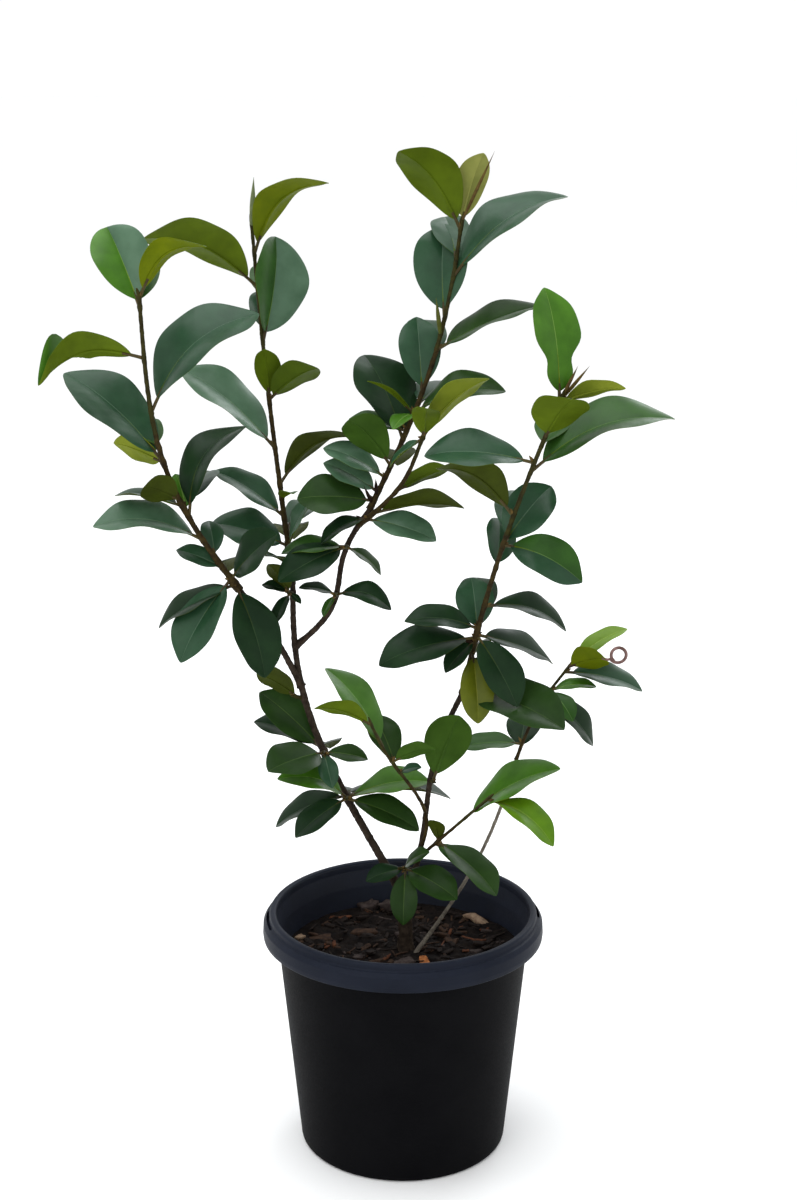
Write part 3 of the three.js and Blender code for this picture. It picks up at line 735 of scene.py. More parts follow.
def bark_tube(sheaf, name, sides, finish_name, end_finish=None, end_mm=0.0):
    """A limb's bark, closed by a dome, with knots where leaves and other limbs stand on it"""
    limb = GROWN[name]
    length = np.linalg.norm(limb["reach"])
    start = 0.0 if "on" in ROWS[name] else -SOWN_MM / length
    stop = STEM_STOPS.get(name, 1) + end_mm / length
    rings = max(FEWEST_RINGS, round((stop - start) * length / RING_STEP_MM))
    shares = np.linspace(start, stop, rings)
    centre, tangent, side, normal = tube_frame(limb, shares)
    out = ring_ways(side, normal, sides)
    radius = plain_radius(name, shares, end_mm)
    wide = np.repeat(radius[:, None], sides, axis=1)
    for place, way in knots_of(name):
        apart = (shares - place) * length
        faced = KNOT_ROUND + (1 - KNOT_ROUND) * np.clip(out @ way, 0, 1)
        wide += radius[:, None] * KNOT_RISE * np.exp(-(apart / KNOT_MM) ** 2)[:, None] * faced
        wide -= radius[:, None] * SCAR_DEPTH * np.exp(-((apart + SCAR_BELOW_MM) / SCAR_MM) ** 2)[:, None]
    flat = (centre[:, None] + out * radius[:, None, None]).reshape(-1, 3)
    lengthwise = unit(limb["reach"])
    drawn = flat - (flat @ lengthwise)[:, None] * lengthwise * RIDGE_DRAWN
    seed = len(name) * SEED_STEP + sides
    relief = RIDGE_DEPTH * ripple(drawn, RIDGE_MM, seed) + PORE_DEPTH * ripple(flat, PORE_MM, seed + 1)
    wide *= 1 + relief.reshape(rings, sides)
    points = centre[:, None] + out * wide[:, :, None]
    caps = []
    for step in range(1, DOME_RINGS + 1):
        angle = step / DOME_RINGS * math.pi / 2
        rise = tangent[-1] * wide[-1].mean() * DOME_RISE * math.sin(angle)
        shrink = max(math.cos(angle), DOME_LEAST)
        caps.append(centre[-1] + rise + out[-1] * wide[-1][:, None] * shrink)
    points = np.concatenate([points.reshape(-1, 3), np.array(caps).reshape(-1, 3)])
    face_shares = np.append(shares, np.full(DOME_RINGS - 1, stop))
    names = np.where(face_shares > YOUNG_END, end_finish or finish_name, finish_name)
    sheaf.add(points, grid_faces(rings + DOME_RINGS, sides, closed=True), np.repeat(names, sides))


for name in LIMBS:
    bark = Sheaf()
    bark_tube(bark, name, LIMB_SIDES, "bark_grey" if name == "far_stem" else "bark_old")
    make_piece(name + "_bark", bark, "bark", name)
print("bark pieces:", len(LIMBS), "triangles:", sum(TOTALS.values()))

# %% [markdown]
# A leaf is a thin closed solid: an upper and a lower sheet on one curved middle surface.
# The middle line arches from stalk to tip, the two halves fold up from the midrib and roll back at
# the margin, the side veins quilt the blade, and the margin waves a little.
# The stalk runs on under the blade as its midrib, and a narrow paler strip marks it from above.
# Planes with a leaf picture would be quicker, but they look flat from the side.

# %% Leaf kinds
CURL_SPREAD = 0.4
WIDTH_SPREAD = 0.14
WIDTH_DRAW = 0.5
KINDS = {
    "old": dict(width=0.52, curl=0.06, fold=0.26, tip=0.28),
    "arched": dict(width=0.51, curl=0.14, fold=0.28, tip=0.3),
    "hooked": dict(width=0.48, curl=0.22, fold=0.28, tip=0.25),
    "cupped": dict(width=0.58, curl=0.04, fold=0.45, tip=0.0),
    "broad": dict(width=0.68, curl=0.05, fold=0.2, tip=0.12),
    "green": dict(width=0.53, curl=0.07, fold=0.22, tip=0.3),
    "young": dict(width=0.44, curl=0.08, fold=0.26, tip=0.2),
    "slim": dict(width=0.22, curl=0.05, fold=0.3, tip=0.3),
}


def leaf_frame(shoot, row, seed):
    """The base point and the out, side and normal directions of a leaf, with its own curl and width"""
    shape = KINDS[row[KIND]]
    out = heading(row[CLOCK], row[LEAN])
    normal = unit(UP - out * (UP @ out))
    toward = np.cross(out, normal)
    toward = -toward if toward @ FRONT < 0 else toward
    turn = math.radians(row[FACE])
    normal = normal * math.cos(turn) + toward * math.sin(turn)
    curl = shape["curl"] * (1 - CURL_SPREAD / 2 + CURL_SPREAD * chance(seed))
    width = shape["width"] * row[LENGTH]
    width = width * (1 - WIDTH_SPREAD / 2 + WIDTH_SPREAD * chance(seed + WIDTH_DRAW))
    return along(shoot, row[PLACE])[0], out, np.cross(out, normal), normal, curl, width


print("kinds of leaf:", ", ".join(KINDS))

# %% Leaf outline
STALK = 0.1
WIDEST = 0.51
BASE_FULLNESS = 0.7
TIP_FULLNESS = 0.6
RIB_HALF_MM = 0.55
RIB_TAPER = 0.7
WIDEST_RIB = 0.5
HALF_COLUMNS = 7
COLUMN_EASE = 0.9


def outline(shares):
    """Shares of the blade alone, and the blade's width there as a share of its widest"""
    s = np.clip((shares - STALK) / (1 - STALK), 0, 1)
    return s, (s / WIDEST) ** BASE_FULLNESS * ((1 - s) / (1 - WIDEST)) ** TIP_FULLNESS


def column_places(width, shares):
    """Places across the blade, from margin to margin, with a strip of even width at the midrib"""
    s, full = outline(shares[:, None])
    half = np.maximum(width / 2 * full, RIB_HALF_MM)
    strip = np.minimum(RIB_HALF_MM * (1 - RIB_TAPER * s) / half, WIDEST_RIB)
    steps = np.linspace(0, 1, HALF_COLUMNS)[None, :]
    right = strip + (1 - strip) * steps ** COLUMN_EASE
    return np.concatenate([-right[:, ::-1], np.zeros_like(strip), right], axis=1)


WIDTH_CHECKS = np.array([0.2, 0.5, 0.9])
print("width of a blade near its stalk, middle and tip:", np.round(outline(WIDTH_CHECKS)[1], 2))

# %% Blade surface
FOLD_RISE = 1.35
MARGIN_ROLL = 0.45
MARGIN_WAVE = 0.07
WAVE_POWER = 3
WAVES_ALONG = 1.7
WAVES_APART = 1.3
WAVE_DRAW = 0.75
TWIST_DEG = 14
TWIST_DRAW = 0.25
VEINS = 8
VEIN_SLANT = 0.24
QUILT_MM = 0.32
QUILT_POWER = 4
QUILT_LENGTH_MM = 70
TIP_DROOP = 0.03
DROOP_START = 0.75
TIP_POINT = 0.04
TIP_SPREAD = 0.085
# Two leaves, known by their seeds, have a shape of their own: an end that turns over, and a waist
TURNED_TIPS_DEG = {15: 100}
TURN_SPAN = (0.6, 1.02)
TURN_SHEAR = 0.22
TURN_WIDENS = 0.4
WAISTED_LEAVES = {83: 0.44}
WAIST_PLACE = 0.3
WAIST_SPREAD = 0.14


def gently(shares):
    """Shares from 0 to 1 that start and end slowly"""
    return shares ** 2 * (3 - 2 * shares)


def blade_surface(shoot, row, seed, shares, across):
    """Points of a leaf's middle surface, one row of points for each share of its length"""
    base, out, side, normal, curl, width = leaf_frame(shoot, row, seed)
    length = row[LENGTH]
    shape = KINDS[row[KIND]]
    u = shares[:, None]
    s, full = outline(u)
    waist = WAISTED_LEAVES.get(seed, 0) * np.exp(-((s - WAIST_PLACE) / WAIST_SPREAD) ** 2)
    near_tip = shape["tip"] * np.exp(-((1 - s) / TIP_SPREAD) ** 2)
    half = np.maximum(width / 2 * full * (1 - waist) * (1 - near_tip), RIB_HALF_MM)
    rolled = np.abs(across) * (FOLD_RISE - MARGIN_ROLL * across ** 2)
    phase = 2 * math.pi * (WAVES_ALONG * s + chance(seed + WAVE_DRAW))
    wave = np.sin(phase + WAVES_APART * np.sign(across))
    lift = shape["fold"] * half * rolled + MARGIN_WAVE * half * np.abs(across) ** WAVE_POWER * wave
    quilt = np.cos(2 * math.pi * VEINS * (s - VEIN_SLANT * np.abs(across) * full))
    quilt = quilt * np.sin(math.pi * s) * np.abs(across) * (1 - across ** QUILT_POWER)
    lift = lift + QUILT_MM * length / QUILT_LENGTH_MM * quilt
    twist = math.radians(TWIST_DEG) * (2 * chance(seed + TWIST_DRAW) - 1) * s
    turned_over = (s + TURN_SHEAR * across - TURN_SPAN[0]) / (TURN_SPAN[1] - TURN_SPAN[0])
    turned_over = np.clip(turned_over, 0, 1)
    twist = twist + math.radians(TURNED_TIPS_DEG.get(seed, 0)) * gently(turned_over)
    wide = across * half * (1 + TURN_WIDENS * turned_over * (seed in TURNED_TIPS_DEG))
    over = wide * np.cos(twist) - lift * np.sin(twist)
    rise = wide * np.sin(twist) + lift * np.cos(twist)
    droop = TIP_DROOP * np.clip((u - DROOP_START) / (1 - DROOP_START), 0, 1) ** 2
    rise = rise + length * (curl * np.sin(math.pi * u) - droop)
    ahead = length * (u + TIP_POINT * near_tip)
    return base + out * ahead[:, :, None] + normal * rise[:, :, None] + side * over[:, :, None]


# %% [markdown]
# The two sheets of a blade lie half a thickness off the middle surface, along its true normal,
# and a band of narrow faces closes the margin. The map gives each side of each leaf its own cell,
# and a third cell to its margin and stalk.

# %% Map cells and halves
CELLS_PER_LEAF = 3
CELL_EDGE = 0.06


def cell(index, count, across, up):
    """Places in one map cell out of a count, from shares across and up"""
    side = math.ceil(math.sqrt(count))
    corner = np.array([index % side, index // side])
    inner = CELL_EDGE + (1 - 2 * CELL_EDGE) * np.stack([across.ravel(), up.ravel()], axis=1)
    return (corner + inner) / side


def surface_normals(points):
    """Normals of a grid of points"""
    down = np.gradient(points, axis=0)
    right = np.gradient(points, axis=1)
    return unit(np.cross(down, right))


def halves(sort):
    """The sorts of a leaf's two halves"""
    sorts = sort.split("|")
    return sorts[0], sorts[-1]


print("halves of a leaf:", halves("mid|fresh"))

# %% Leaf margin and stalk
BAND_SHARE = 0.1
STALK_SIDES = 7
FEWEST_STALK_RINGS = 10
STALK_RING_MM = 4
STALK_FOOT_MM = 1.05
STALK_TIP_MM = 0.16
STALK_TAPER = 0.8
STALK_END = 0.97
SMALL_STALK = 0.55
STALK_LEAF_MM = 130
SUNK_SHARE = 0.55
SUNK_SPAN = 0.1
BROWN_STALK = 1.4
STALK_CELL_FOOT = 0.2


def add_margin(sheaf, upper, lower, finish_name, index, count):
    """The narrow band that closes a blade round its margin"""
    rows, columns = upper.shape[:2]
    walk = [(0, column) for column in range(columns)]
    walk += [(row, columns - 1) for row in range(1, rows)]
    walk += [(rows - 1, column) for column in range(columns - 2, -1, -1)]
    walk += [(row, 0) for row in range(rows - 2, 0, -1)]
    rim = np.array(walk)
    band = np.concatenate([upper[rim[:, 0], rim[:, 1]], lower[rim[:, 0], rim[:, 1]]])
    round_share = np.tile(np.linspace(0, 1, len(rim)), 2)
    band_share = np.repeat([0.0, BAND_SHARE], len(rim))
    sheaf.add(band, grid_faces(2, len(rim), closed=True), finish_name,
              cell(index, count, round_share, band_share))


def add_stalk(sheaf, shoot, row, seed, finish_name, index, count):
    """The stalk, which runs on under the blade as its midrib"""
    length = row[LENGTH]
    normal = leaf_frame(shoot, row, seed)[3]
    steps = max(FEWEST_STALK_RINGS, round(length / STALK_RING_MM))
    shares = np.linspace(0, STALK_END, steps)
    line = blade_surface(shoot, row, seed, shares, np.zeros((steps, 1)))[:, 0]
    foot = STALK_FOOT_MM * min(1, SMALL_STALK + length / STALK_LEAF_MM)
    radius = foot * (1 - shares) ** STALK_TAPER + STALK_TIP_MM
    sunk = np.clip((shares - STALK) / SUNK_SPAN, 0, 1) * radius * SUNK_SHARE
    line = line - normal * sunk[:, None]
    along_line = unit(np.gradient(line, axis=0))
    side = unit(np.cross(along_line, normal))
    ring = ring_ways(side, np.cross(side, along_line), STALK_SIDES)
    points = line[:, None] + ring * radius[:, None, None]
    face_share = np.repeat(shares[:-1], STALK_SIDES)
    names = np.where(face_share < STALK * BROWN_STALK, "stalk", finish_name)
    turn_share = np.repeat(np.linspace(0, 1, STALK_SIDES)[None, :], steps, axis=0)
    up_share = STALK_CELL_FOOT + (1 - STALK_CELL_FOOT) * shares
    up_share = np.repeat(up_share[:, None], STALK_SIDES, axis=1)
    sheaf.add(points.reshape(-1, 3), grid_faces(steps, STALK_SIDES, closed=True), names,
              cell(index, count, turn_share, up_share))


# %% Whole leaf
STATION_MM = 2.2
FEWEST_STATIONS = 14
STATION_EASE = 0.08
BLADE_START = 0.9
BLADE_MM = 0.55
MARGIN_MM = 0.24


def add_leaf(sheaf, shoot, row, seed, index, count):
    """One leaf, blade and stalk, added to a sheaf with its map cells"""
    left_sort, right_sort = halves(row[SORT])
    normal, _, width = leaf_frame(shoot, row, seed)[3:]
    stations = max(FEWEST_STATIONS, round(row[LENGTH] / STATION_MM))
    eased = np.linspace(0, 1, stations)
    start = STALK * BLADE_START
    shares = start + (1 - start) * (eased - STATION_EASE * np.sin(2 * math.pi * eased))
    across = column_places(width, shares)
    middle = blade_surface(shoot, row, seed, shares, across)
    facing = surface_normals(middle)
    facing = facing * np.sign((facing * normal).sum(axis=2, keepdims=True).mean())
    thick = MARGIN_MM + (BLADE_MM - MARGIN_MM) * (1 - across ** 2)[:, :, None]
    upper = middle + facing * thick / 2
    lower = middle - facing * thick / 2
    columns = across.shape[1]
    faces = grid_faces(stations, columns)
    column = np.arange(len(faces)) % (columns - 1)
    # With two sorts, one half of the blade takes a lighter or bluer green than the other: painted light on
    # the half that faces the sky
    names = np.where(column < HALF_COLUMNS, "upper_" + left_sort, "upper_" + right_sort)
    names = np.where(np.isin(column, (HALF_COLUMNS - 1, HALF_COLUMNS)), "rib_" + left_sort, names)
    under = "under_" + left_sort
    up_share = np.repeat(eased[:, None], columns, axis=1)
    over = np.repeat(np.linspace(0, 1, columns)[None, :], stations, axis=0)
    first = CELLS_PER_LEAF * index
    cells = CELLS_PER_LEAF * count
    sheaf.add(upper.reshape(-1, 3), faces[:, ::-1], names, cell(first, cells, over, up_share))
    sheaf.add(lower.reshape(-1, 3), faces, under, cell(first + 1, cells, over, up_share))
    add_margin(sheaf, upper, lower, under, first + 2, cells)
    add_stalk(sheaf, shoot, row, seed, under, first + 2, cells)


trial_leaf = Sheaf()
add_leaf(trial_leaf, GROWN["left_leader"], SHOOTS["left_leader"]["leaves"][0], 1, 0, 1)
print("faces of one leaf:", len(trial_leaf.finishes))

# %% [markdown]
# Magnolia shoots end in long pointed buds wrapped in one furry scale, and a smaller bud sits in the
# angle above each leaf stalk. Both are turned from the same profile: slim at the foot,
# fullest about halfway up, with a point and a seam where the scale closes.

# %% Buds
BUD_RINGS = 16
BUD_SIDES = 10
BUD_FOOT = 0.55
BUD_FULL_END = 0.95
BUD_POINT = 3.2
BUD_TIP_MM = 0.05
SEAM_DEPTH = 0.12
SEAM_SPREAD = 0.35
SEAM_START = 1.2
SEAM_TURN = 1.5
UPRIGHT = 0.9


def add_bud(sheaf, foot, way, length, half, finish_name):
    """A pointed bud from its foot along a direction"""
    shares = np.linspace(0, 1, BUD_RINGS)[:, None]
    belly = BUD_FOOT + (1 - BUD_FOOT) * np.sin(math.pi * np.minimum(shares / BUD_FULL_END, 1))
    profile = half * belly * (1 - shares ** BUD_POINT) + BUD_TIP_MM
    past_seam = steps_round(BUD_SIDES)[None, :] - SEAM_START - SEAM_TURN * shares
    seam = 1 - SEAM_DEPTH * np.exp(-(past_seam / SEAM_SPREAD) ** 2)
    level = unit(np.cross(way, UP if abs(way @ UP) < UPRIGHT else FRONT))
    ring = ring_ways(level[None], np.cross(way, level)[None], BUD_SIDES)
    points = foot + way * length * shares[:, :, None] + ring * (profile * seam)[:, :, None]
    sheaf.add(points.reshape(-1, 3), grid_faces(BUD_RINGS, BUD_SIDES, closed=True)[:, ::-1], finish_name)


trial_bud = Sheaf()
add_bud(trial_bud, np.zeros(3), UP, 1, 1, "bud_brown")
print("faces of one bud:", len(trial_bud.finishes))

# %% [markdown]
# Now each shoot is grown: its stem with knots and side buds as one piece, its leaves as another.
# Both stand for the same solid. Seeds count on through all shoots, as in the solids.

# %% Leafy shoots
SHOOT_SIDES = 14
TERMINAL_BUD_MM = 5
BUD_HALF_MM = {"brown": 1.25, "green": 1.6, "grey": 2.1}
SIDE_BUD_MM = 4.2
SIDE_BUD_SPREAD = 0.6
SIDE_BUD_DRAW = 0.33
SIDE_BUD_SLIM = 0.2
SIDE_BUD_OFF = 0.5
seed = 0
for name, row in SHOOTS.items():
    shoot = GROWN[name]
    wood, foliage = Sheaf(), Sheaf()
    bark_tube(wood, name, SHOOT_SIDES, "bark_young", "bark_green", TERMINAL_BUD_MM)
    shoot_way = unit(shoot["reach"])
    blades = sum(leaf[KIND] != "bud" for leaf in row["leaves"])
    drawn = 0
    for leaf in row["leaves"]:
        seed += 1
        foot = along(shoot, leaf[PLACE])[0]
        way = heading(leaf[CLOCK], leaf[LEAN])
        if leaf[KIND] == "bud":
            add_bud(wood, foot, way, leaf[LENGTH], BUD_HALF_MM[leaf[SORT]], "bud_" + leaf[SORT])
            continue
        add_leaf(foliage, shoot, leaf, seed, drawn, blades)
        drawn += 1
        size = 1 - SIDE_BUD_SPREAD / 2 + SIDE_BUD_SPREAD * chance(seed + SIDE_BUD_DRAW)
        size = SIDE_BUD_MM * size
        side_foot = foot + way * shoot["thick"][0] * SIDE_BUD_OFF + shoot_way
        add_bud(wood, side_foot, unit(shoot_way + way), size, size * SIDE_BUD_SLIM, "bud_brown")
    make_piece(name + "_stem", wood, "bark", name)
    make_piece(name + "_leaves", foliage, "foliage", name)
print("leaves:", seed, "triangles so far:", sum(TOTALS.values()))

# %% [markdown]
# One spent leaf is left on the far shoot, dried to a thin strip and rolled into a ring.
# Its middle line is a short run followed by a little more than one turn that slowly tightens,
# and a flat section is carried along that line.

# %% Dry curl
CURL_RUN_MM = [(141.6, 40.4, 349.6), (145.6, 38.9, 349.0)]
CURL_CENTRE_MM = (152.8, 38.6, 353.0)
CURL_RADII_MM = (6.6, 5.0)
CURL_TURNS_DEG = (212, 615)
CURL_TIGHTENING = 0.5
CURL_DRIFT_MM = 3.0
CURL_STEPS = 60
CURL_SIDES = 8
CURL_HALF_MM = (1.2, 1.5)
CURL_FOOT_TAPER = (0.7, 8)
CURL_END_TAPER = (12, 0.3)
finish("dry_leaf", ((138, 110, 106), (92, 70, 64)), patch_scale=160.0, rough=(0.7, 0.9), shine=0.08,
       grain=0.5)
share = np.linspace(0, 1, CURL_STEPS)
angle = np.radians(CURL_TURNS_DEG[0] + (CURL_TURNS_DEG[1] - CURL_TURNS_DEG[0]) * share)
reach = CURL_RADII_MM[0] + (CURL_RADII_MM[1] - CURL_RADII_MM[0]) * share ** CURL_TIGHTENING
coil = np.stack([reach * np.cos(angle), -CURL_DRIFT_MM * share, reach * np.sin(angle)], axis=1)
line = np.concatenate([np.array(CURL_RUN_MM), np.array(CURL_CENTRE_MM) + coil])
ahead = unit(np.gradient(line, axis=0))
level = unit(np.cross(ahead, FRONT))
across = np.cross(level, ahead)
narrow = np.ones(len(line))
for taper in (CURL_FOOT_TAPER, CURL_END_TAPER):
    narrow *= np.clip(np.linspace(*taper, len(line)), 0, 1)
section = ring_ways(level * CURL_HALF_MM[0], across * CURL_HALF_MM[1], CURL_SIDES)
strip = line[:, None] + section * narrow[:, None, None]
curl = Sheaf()
curl.add(strip.reshape(-1, 3), grid_faces(len(line), CURL_SIDES, closed=True), "dry_leaf")
make_piece("dry_curl", curl, "foliage")
print("curl from", np.round(line.min(axis=0), 1), "to", np.round(line.max(axis=0), 1), "mm")

# %% [markdown]
# A few bud scales have dried and still cling to the stems, dark brown and pointed.
# Their rows are the limb, the share of its length, clock direction, lean and length.

# %% Dry scales
DRY_SCALES = [
    ("centre_leader", 0.02, 112, -24, 16), ("centre_leader", 0.05, 92, -40, 18),
    ("right_leader", 0.185, 166, -30, 9), ("right_leader", 0.12, 16, -30, 10),
    ("right_leader", 0.1, 42, 20, 7), ("right_bough", 0.93, 130, -40, 8),
]
SCALE_HALF_MM = 1.4
finish("dry_scale", ((40, 27, 18), (24, 16, 12)), patch_scale=200.0, rough=(0.7, 0.9), shine=0.06,
       grain=0.6)
scales = Sheaf()
for limb_name, place, clock, lean, length in DRY_SCALES:
    scale_foot = along(GROWN[limb_name], place)[0]
    add_bud(scales, scale_foot, heading(clock, lean), length, SCALE_HALF_MM, "dry_scale")
make_piece("dry_scales", scales, "bark")
print("dry scales:", len(DRY_SCALES))

# %% [markdown]
# The pot is blown or moulded black plastic with a rolled lip, a small shoulder, a skirt that stands
# off the wall and a rounded foot. A lathe is the natural way: one half section with rounded corners,
# turned in many steps. Two slots in the shoulder, left and right, take a carrying handle.

# %% Pot section
FILLET_STEPS = 5
FILLET_ROOM = 0.48
FLATTEST = 1e-3
# Each corner: its distance from the axis, its height and the radius that rounds it
POT_CORNERS = [
    (0.0, 0.0, 0.0), (73.8, 0.0, 4.0), (89.6, 157.0, 0.8), (99.6, 157.0, 1.0), (100.0, 160.5, 1.2),
    (99.6, 167.4, 1.4), (97.6, 170.4, 0.4), (96.0, 170.8, 0.3), (95.4, 171.6, 0.4), (95.1, 175.4, 2.2),
    (90.2, 175.5, 2.2), (90.2, 169.5, 2.5), (87.6, 157.0, 3.0), (71.9, 2.6, 2.0), (0.0, 2.6, 0.0),
]


def rounded(corners):
    """A half section with its corners rounded by their own radius"""
    spots = [np.array(corner[:2]) for corner in corners]
    line = [spots[0]]
    for before, at, after, corner in zip(spots, spots[1:], spots[2:], corners[1:-1]):
        back, ahead = unit(before - at), unit(after - at)
        half_angle = math.acos(np.clip(back @ ahead, -1, 1)) / 2
        room = min(np.linalg.norm(before - at), np.linalg.norm(after - at)) * FILLET_ROOM
        reach = min(corner[2] / max(math.tan(half_angle), FLATTEST), room)
        for share in np.linspace(0, 1, FILLET_STEPS):
            first = at + back * reach * (1 - share)
            second = at + ahead * reach * share
            line.append(first * (1 - share) + second * share)
    line.append(spots[-1])
    return np.array(line)


section = rounded(POT_CORNERS)
print("pot section points:", len(section))

# %% Pot finishes
# Each finish: its two colours, the scale of their patches, roughness, shine, and the dust on it;
# the rim and inside are lighter, bluish copies of the black plastic, painted sky reflection,
# and their pale bluish dust on what faces up is dust with painted sky sheen
POT_FINISHES = {
    "pot_plastic": (((11, 11, 13), (8, 8, 10)), 26.0, (0.5, 0.66), 0.025, ((46, 45, 46), 45.0, 0.1)),
    "pot_rim": (((25, 29, 40), (19, 23, 33)), 30.0, (0.42, 0.56), 0.07, ((66, 74, 92), 60.0, 0.14)),
    "pot_inside": (((30, 35, 48), (23, 27, 38)), 30.0, (0.4, 0.55), 0.3, ((66, 70, 80), 60.0, 0.14)),
}
for finish_name, (colours, patch_scale, rough, shine, dust_and_sheen) in POT_FINISHES.items():
    finish(finish_name, colours, patch_scale, rough, shine=shine, grain=0.12, grain_scale=700.0, dust_and_sheen=dust_and_sheen)
print("pot finishes:", ", ".join(POT_FINISHES))

# %% Pot mesh
POT_SIDES = 224
SLOT_CENTRES_DEG = (6, 186)
SLOT_SPAN_DEG = 18
SLOT_RADII_MM = (95.8, 97.5)
SLOT_DEPTH_MM = 4.5
SHOULDER_MM = 168
HALF_TURN_DEG = 180
RIM_FOOT_MM = 156.8
RIM_INSIDE_MM = 90.4


def turned(half_section, sides):
    """Points of a half section turned round the upright axis"""
    turn = steps_round(sides)
    r, z = half_section[:, 0][:, None], half_section[:, 1][:, None]
    return np.stack([r * np.cos(turn), r * np.sin(turn), z + 0 * turn], axis=2)


shell = turned(section, POT_SIDES)
turn = np.degrees(np.arctan2(shell[:, :, 1], shell[:, :, 0]))
reach = np.hypot(shell[:, :, 0], shell[:, :, 1])
on_shoulder = (reach > SLOT_RADII_MM[0]) & (reach < SLOT_RADII_MM[1]) & (shell[:, :, 2] > SHOULDER_MM)
for centre in SLOT_CENTRES_DEG:
    apart = np.abs((turn - centre + HALF_TURN_DEG) % (2 * HALF_TURN_DEG) - HALF_TURN_DEG)
    shell[:, :, 2] -= SLOT_DEPTH_MM * (on_shoulder & (apart < SLOT_SPAN_DEG / 2))
lip_row = int(np.argmax(section[:, 1]))
rows = np.arange(len(section) - 1)
# The rim and the inside take lighter, bluish copies of the black plastic: painted sky reflection
row_names = np.where(section[:-1, 1] > RIM_FOOT_MM, "pot_rim", "pot_plastic")
row_names = np.where((rows > lip_row) & (section[:-1, 0] < RIM_INSIDE_MM), "pot_inside", row_names)
pot = Sheaf()
pot_faces = grid_faces(len(section), POT_SIDES, closed=True)
pot.add(shell.reshape(-1, 3), pot_faces, np.repeat(row_names, POT_SIDES))
make_piece("pot_shell", pot, "pot_plastic", "pot")
print("pot triangles:", TOTALS["pot_shell"])

# %% [markdown]
# Potting mix is composted bark: a dark crumbly ground with chips lying on it at all angles.
# The ground is a fine round grid raised by ripples of three sizes; a closed body below it fills the pot.
# Chips are small blocky forms with worn corners, partly sunk, drawn by a seed,
# and the few that stand out in the photograph are placed one by one.

# %% Mix finishes
finish("mix_ground", ((26, 20, 17), (12, 9, 9)), patch_scale=190.0, rough=(0.8, 0.98), shine=0.08,
       grain=1.0)
CHIPS = {
    "chip_dark": ((34, 26, 22), (20, 15, 14)),
    "chip_brown": ((60, 43, 32), (40, 28, 22)),
    "chip_red": ((88, 53, 34), (60, 35, 25)),
    "chip_grey": ((66, 57, 54), (46, 38, 37)),
    "chip_tan": ((176, 112, 62), (128, 74, 40)),
    "chip_pale": ((150, 128, 106), (112, 90, 74)),
}
for chip_name, colours in CHIPS.items():
    finish(chip_name, colours, patch_scale=320.0, rough=(0.7, 0.9), shine=0.1, grain=0.8,
           grain_scale=1500.0)
print("chip finishes:", ", ".join(CHIPS))

# %% Mix ground
MIX_TOP = 142.0
MOUND_RISE = 2.0
MOUND_FOOT_MM = 52.0
MOUND_TOP_MM = 20.0
MIX_FLOOR = 2.9
MIX_EDGE_MM = 85.2
MIX_FOOT_MM = 71.4
MIX_MIDDLE_MM = 0.3
GROUND_RINGS = 76
GROUND_SIDES = 230
GROUND_MIDDLE = 0.004
# Height, pitch and seed of the ripples; the finest are turned up into crumbs
SWELLS = [(1.1, 19, 5), (0.8, 8, 6)]
CRUMBS = (0.5, 3.6, 7)
CALM_PAST_MM = 6
CALM_SPAN_MM = 14
CALMEST = 0.3


def ground_height(x, y):
    """The height of the mix at a place, mound and crumbs together"""
    reach = np.hypot(x, y)
    share = np.clip((MOUND_FOOT_MM - reach) / (MOUND_FOOT_MM - MOUND_TOP_MM), 0, 1)
    spots = np.stack([np.ravel(x), np.ravel(y), np.zeros(np.size(x))], axis=1)
    relief = CRUMBS[0] * np.abs(ripple(spots, *CRUMBS[1:]))
    for height, pitch, seed in SWELLS:
        relief = relief + height * ripple(spots, pitch, seed)
    calm = np.clip((MIX_EDGE_MM + CALM_PAST_MM - reach) / CALM_SPAN_MM, CALMEST, 1)
    return MIX_TOP + MOUND_RISE * gently(share) + relief.reshape(np.shape(x)) * calm


turn = steps_round(GROUND_SIDES)[None, :]
reach = MIX_EDGE_MM * np.linspace(GROUND_MIDDLE, 1, GROUND_RINGS)[::-1, None]
x, y = reach * np.cos(turn), reach * np.sin(turn)
top = np.stack([x, y, ground_height(x, y)], axis=2)
low_edge = turned(np.array([[MIX_MIDDLE_MM, MIX_FLOOR], [MIX_FOOT_MM, MIX_FLOOR]]), GROUND_SIDES)
body = np.concatenate([low_edge, top])
ground = Sheaf()
ground.add(body.reshape(-1, 3), grid_faces(len(body), GROUND_SIDES, closed=True), "mix_ground")
make_piece("mix_ground", ground, "potting_mix", "potting_mix")
heights = top[:, :, 2]
print("ground from", round(float(heights.min()), 1), "to", round(float(heights.max()), 1), "mm")

# %% [markdown]
# A chip starts as a ball squared off along its three axes, roughened by ripples and bent a little.
# It is turned by a drawn angle, tipped, and set so that about a third of it is buried.

# %% One chip
CHIP_RINGS = 9
CHIP_SIDES = 12
SQUARE = 0.55
CHIP_ROUGH = 0.16
CHIP_HILLS = 3
FINEST_HILL_MM = 2.5
CHIP_LIFT = 0.22


def swung(points, first, second, degrees):
    """Points turned in the plane of two of their axes"""
    angle = math.radians(degrees)
    result = points.copy()
    result[:, first] = points[:, first] * math.cos(angle) - points[:, second] * math.sin(angle)
    result[:, second] = points[:, first] * math.sin(angle) + points[:, second] * math.cos(angle)
    return result


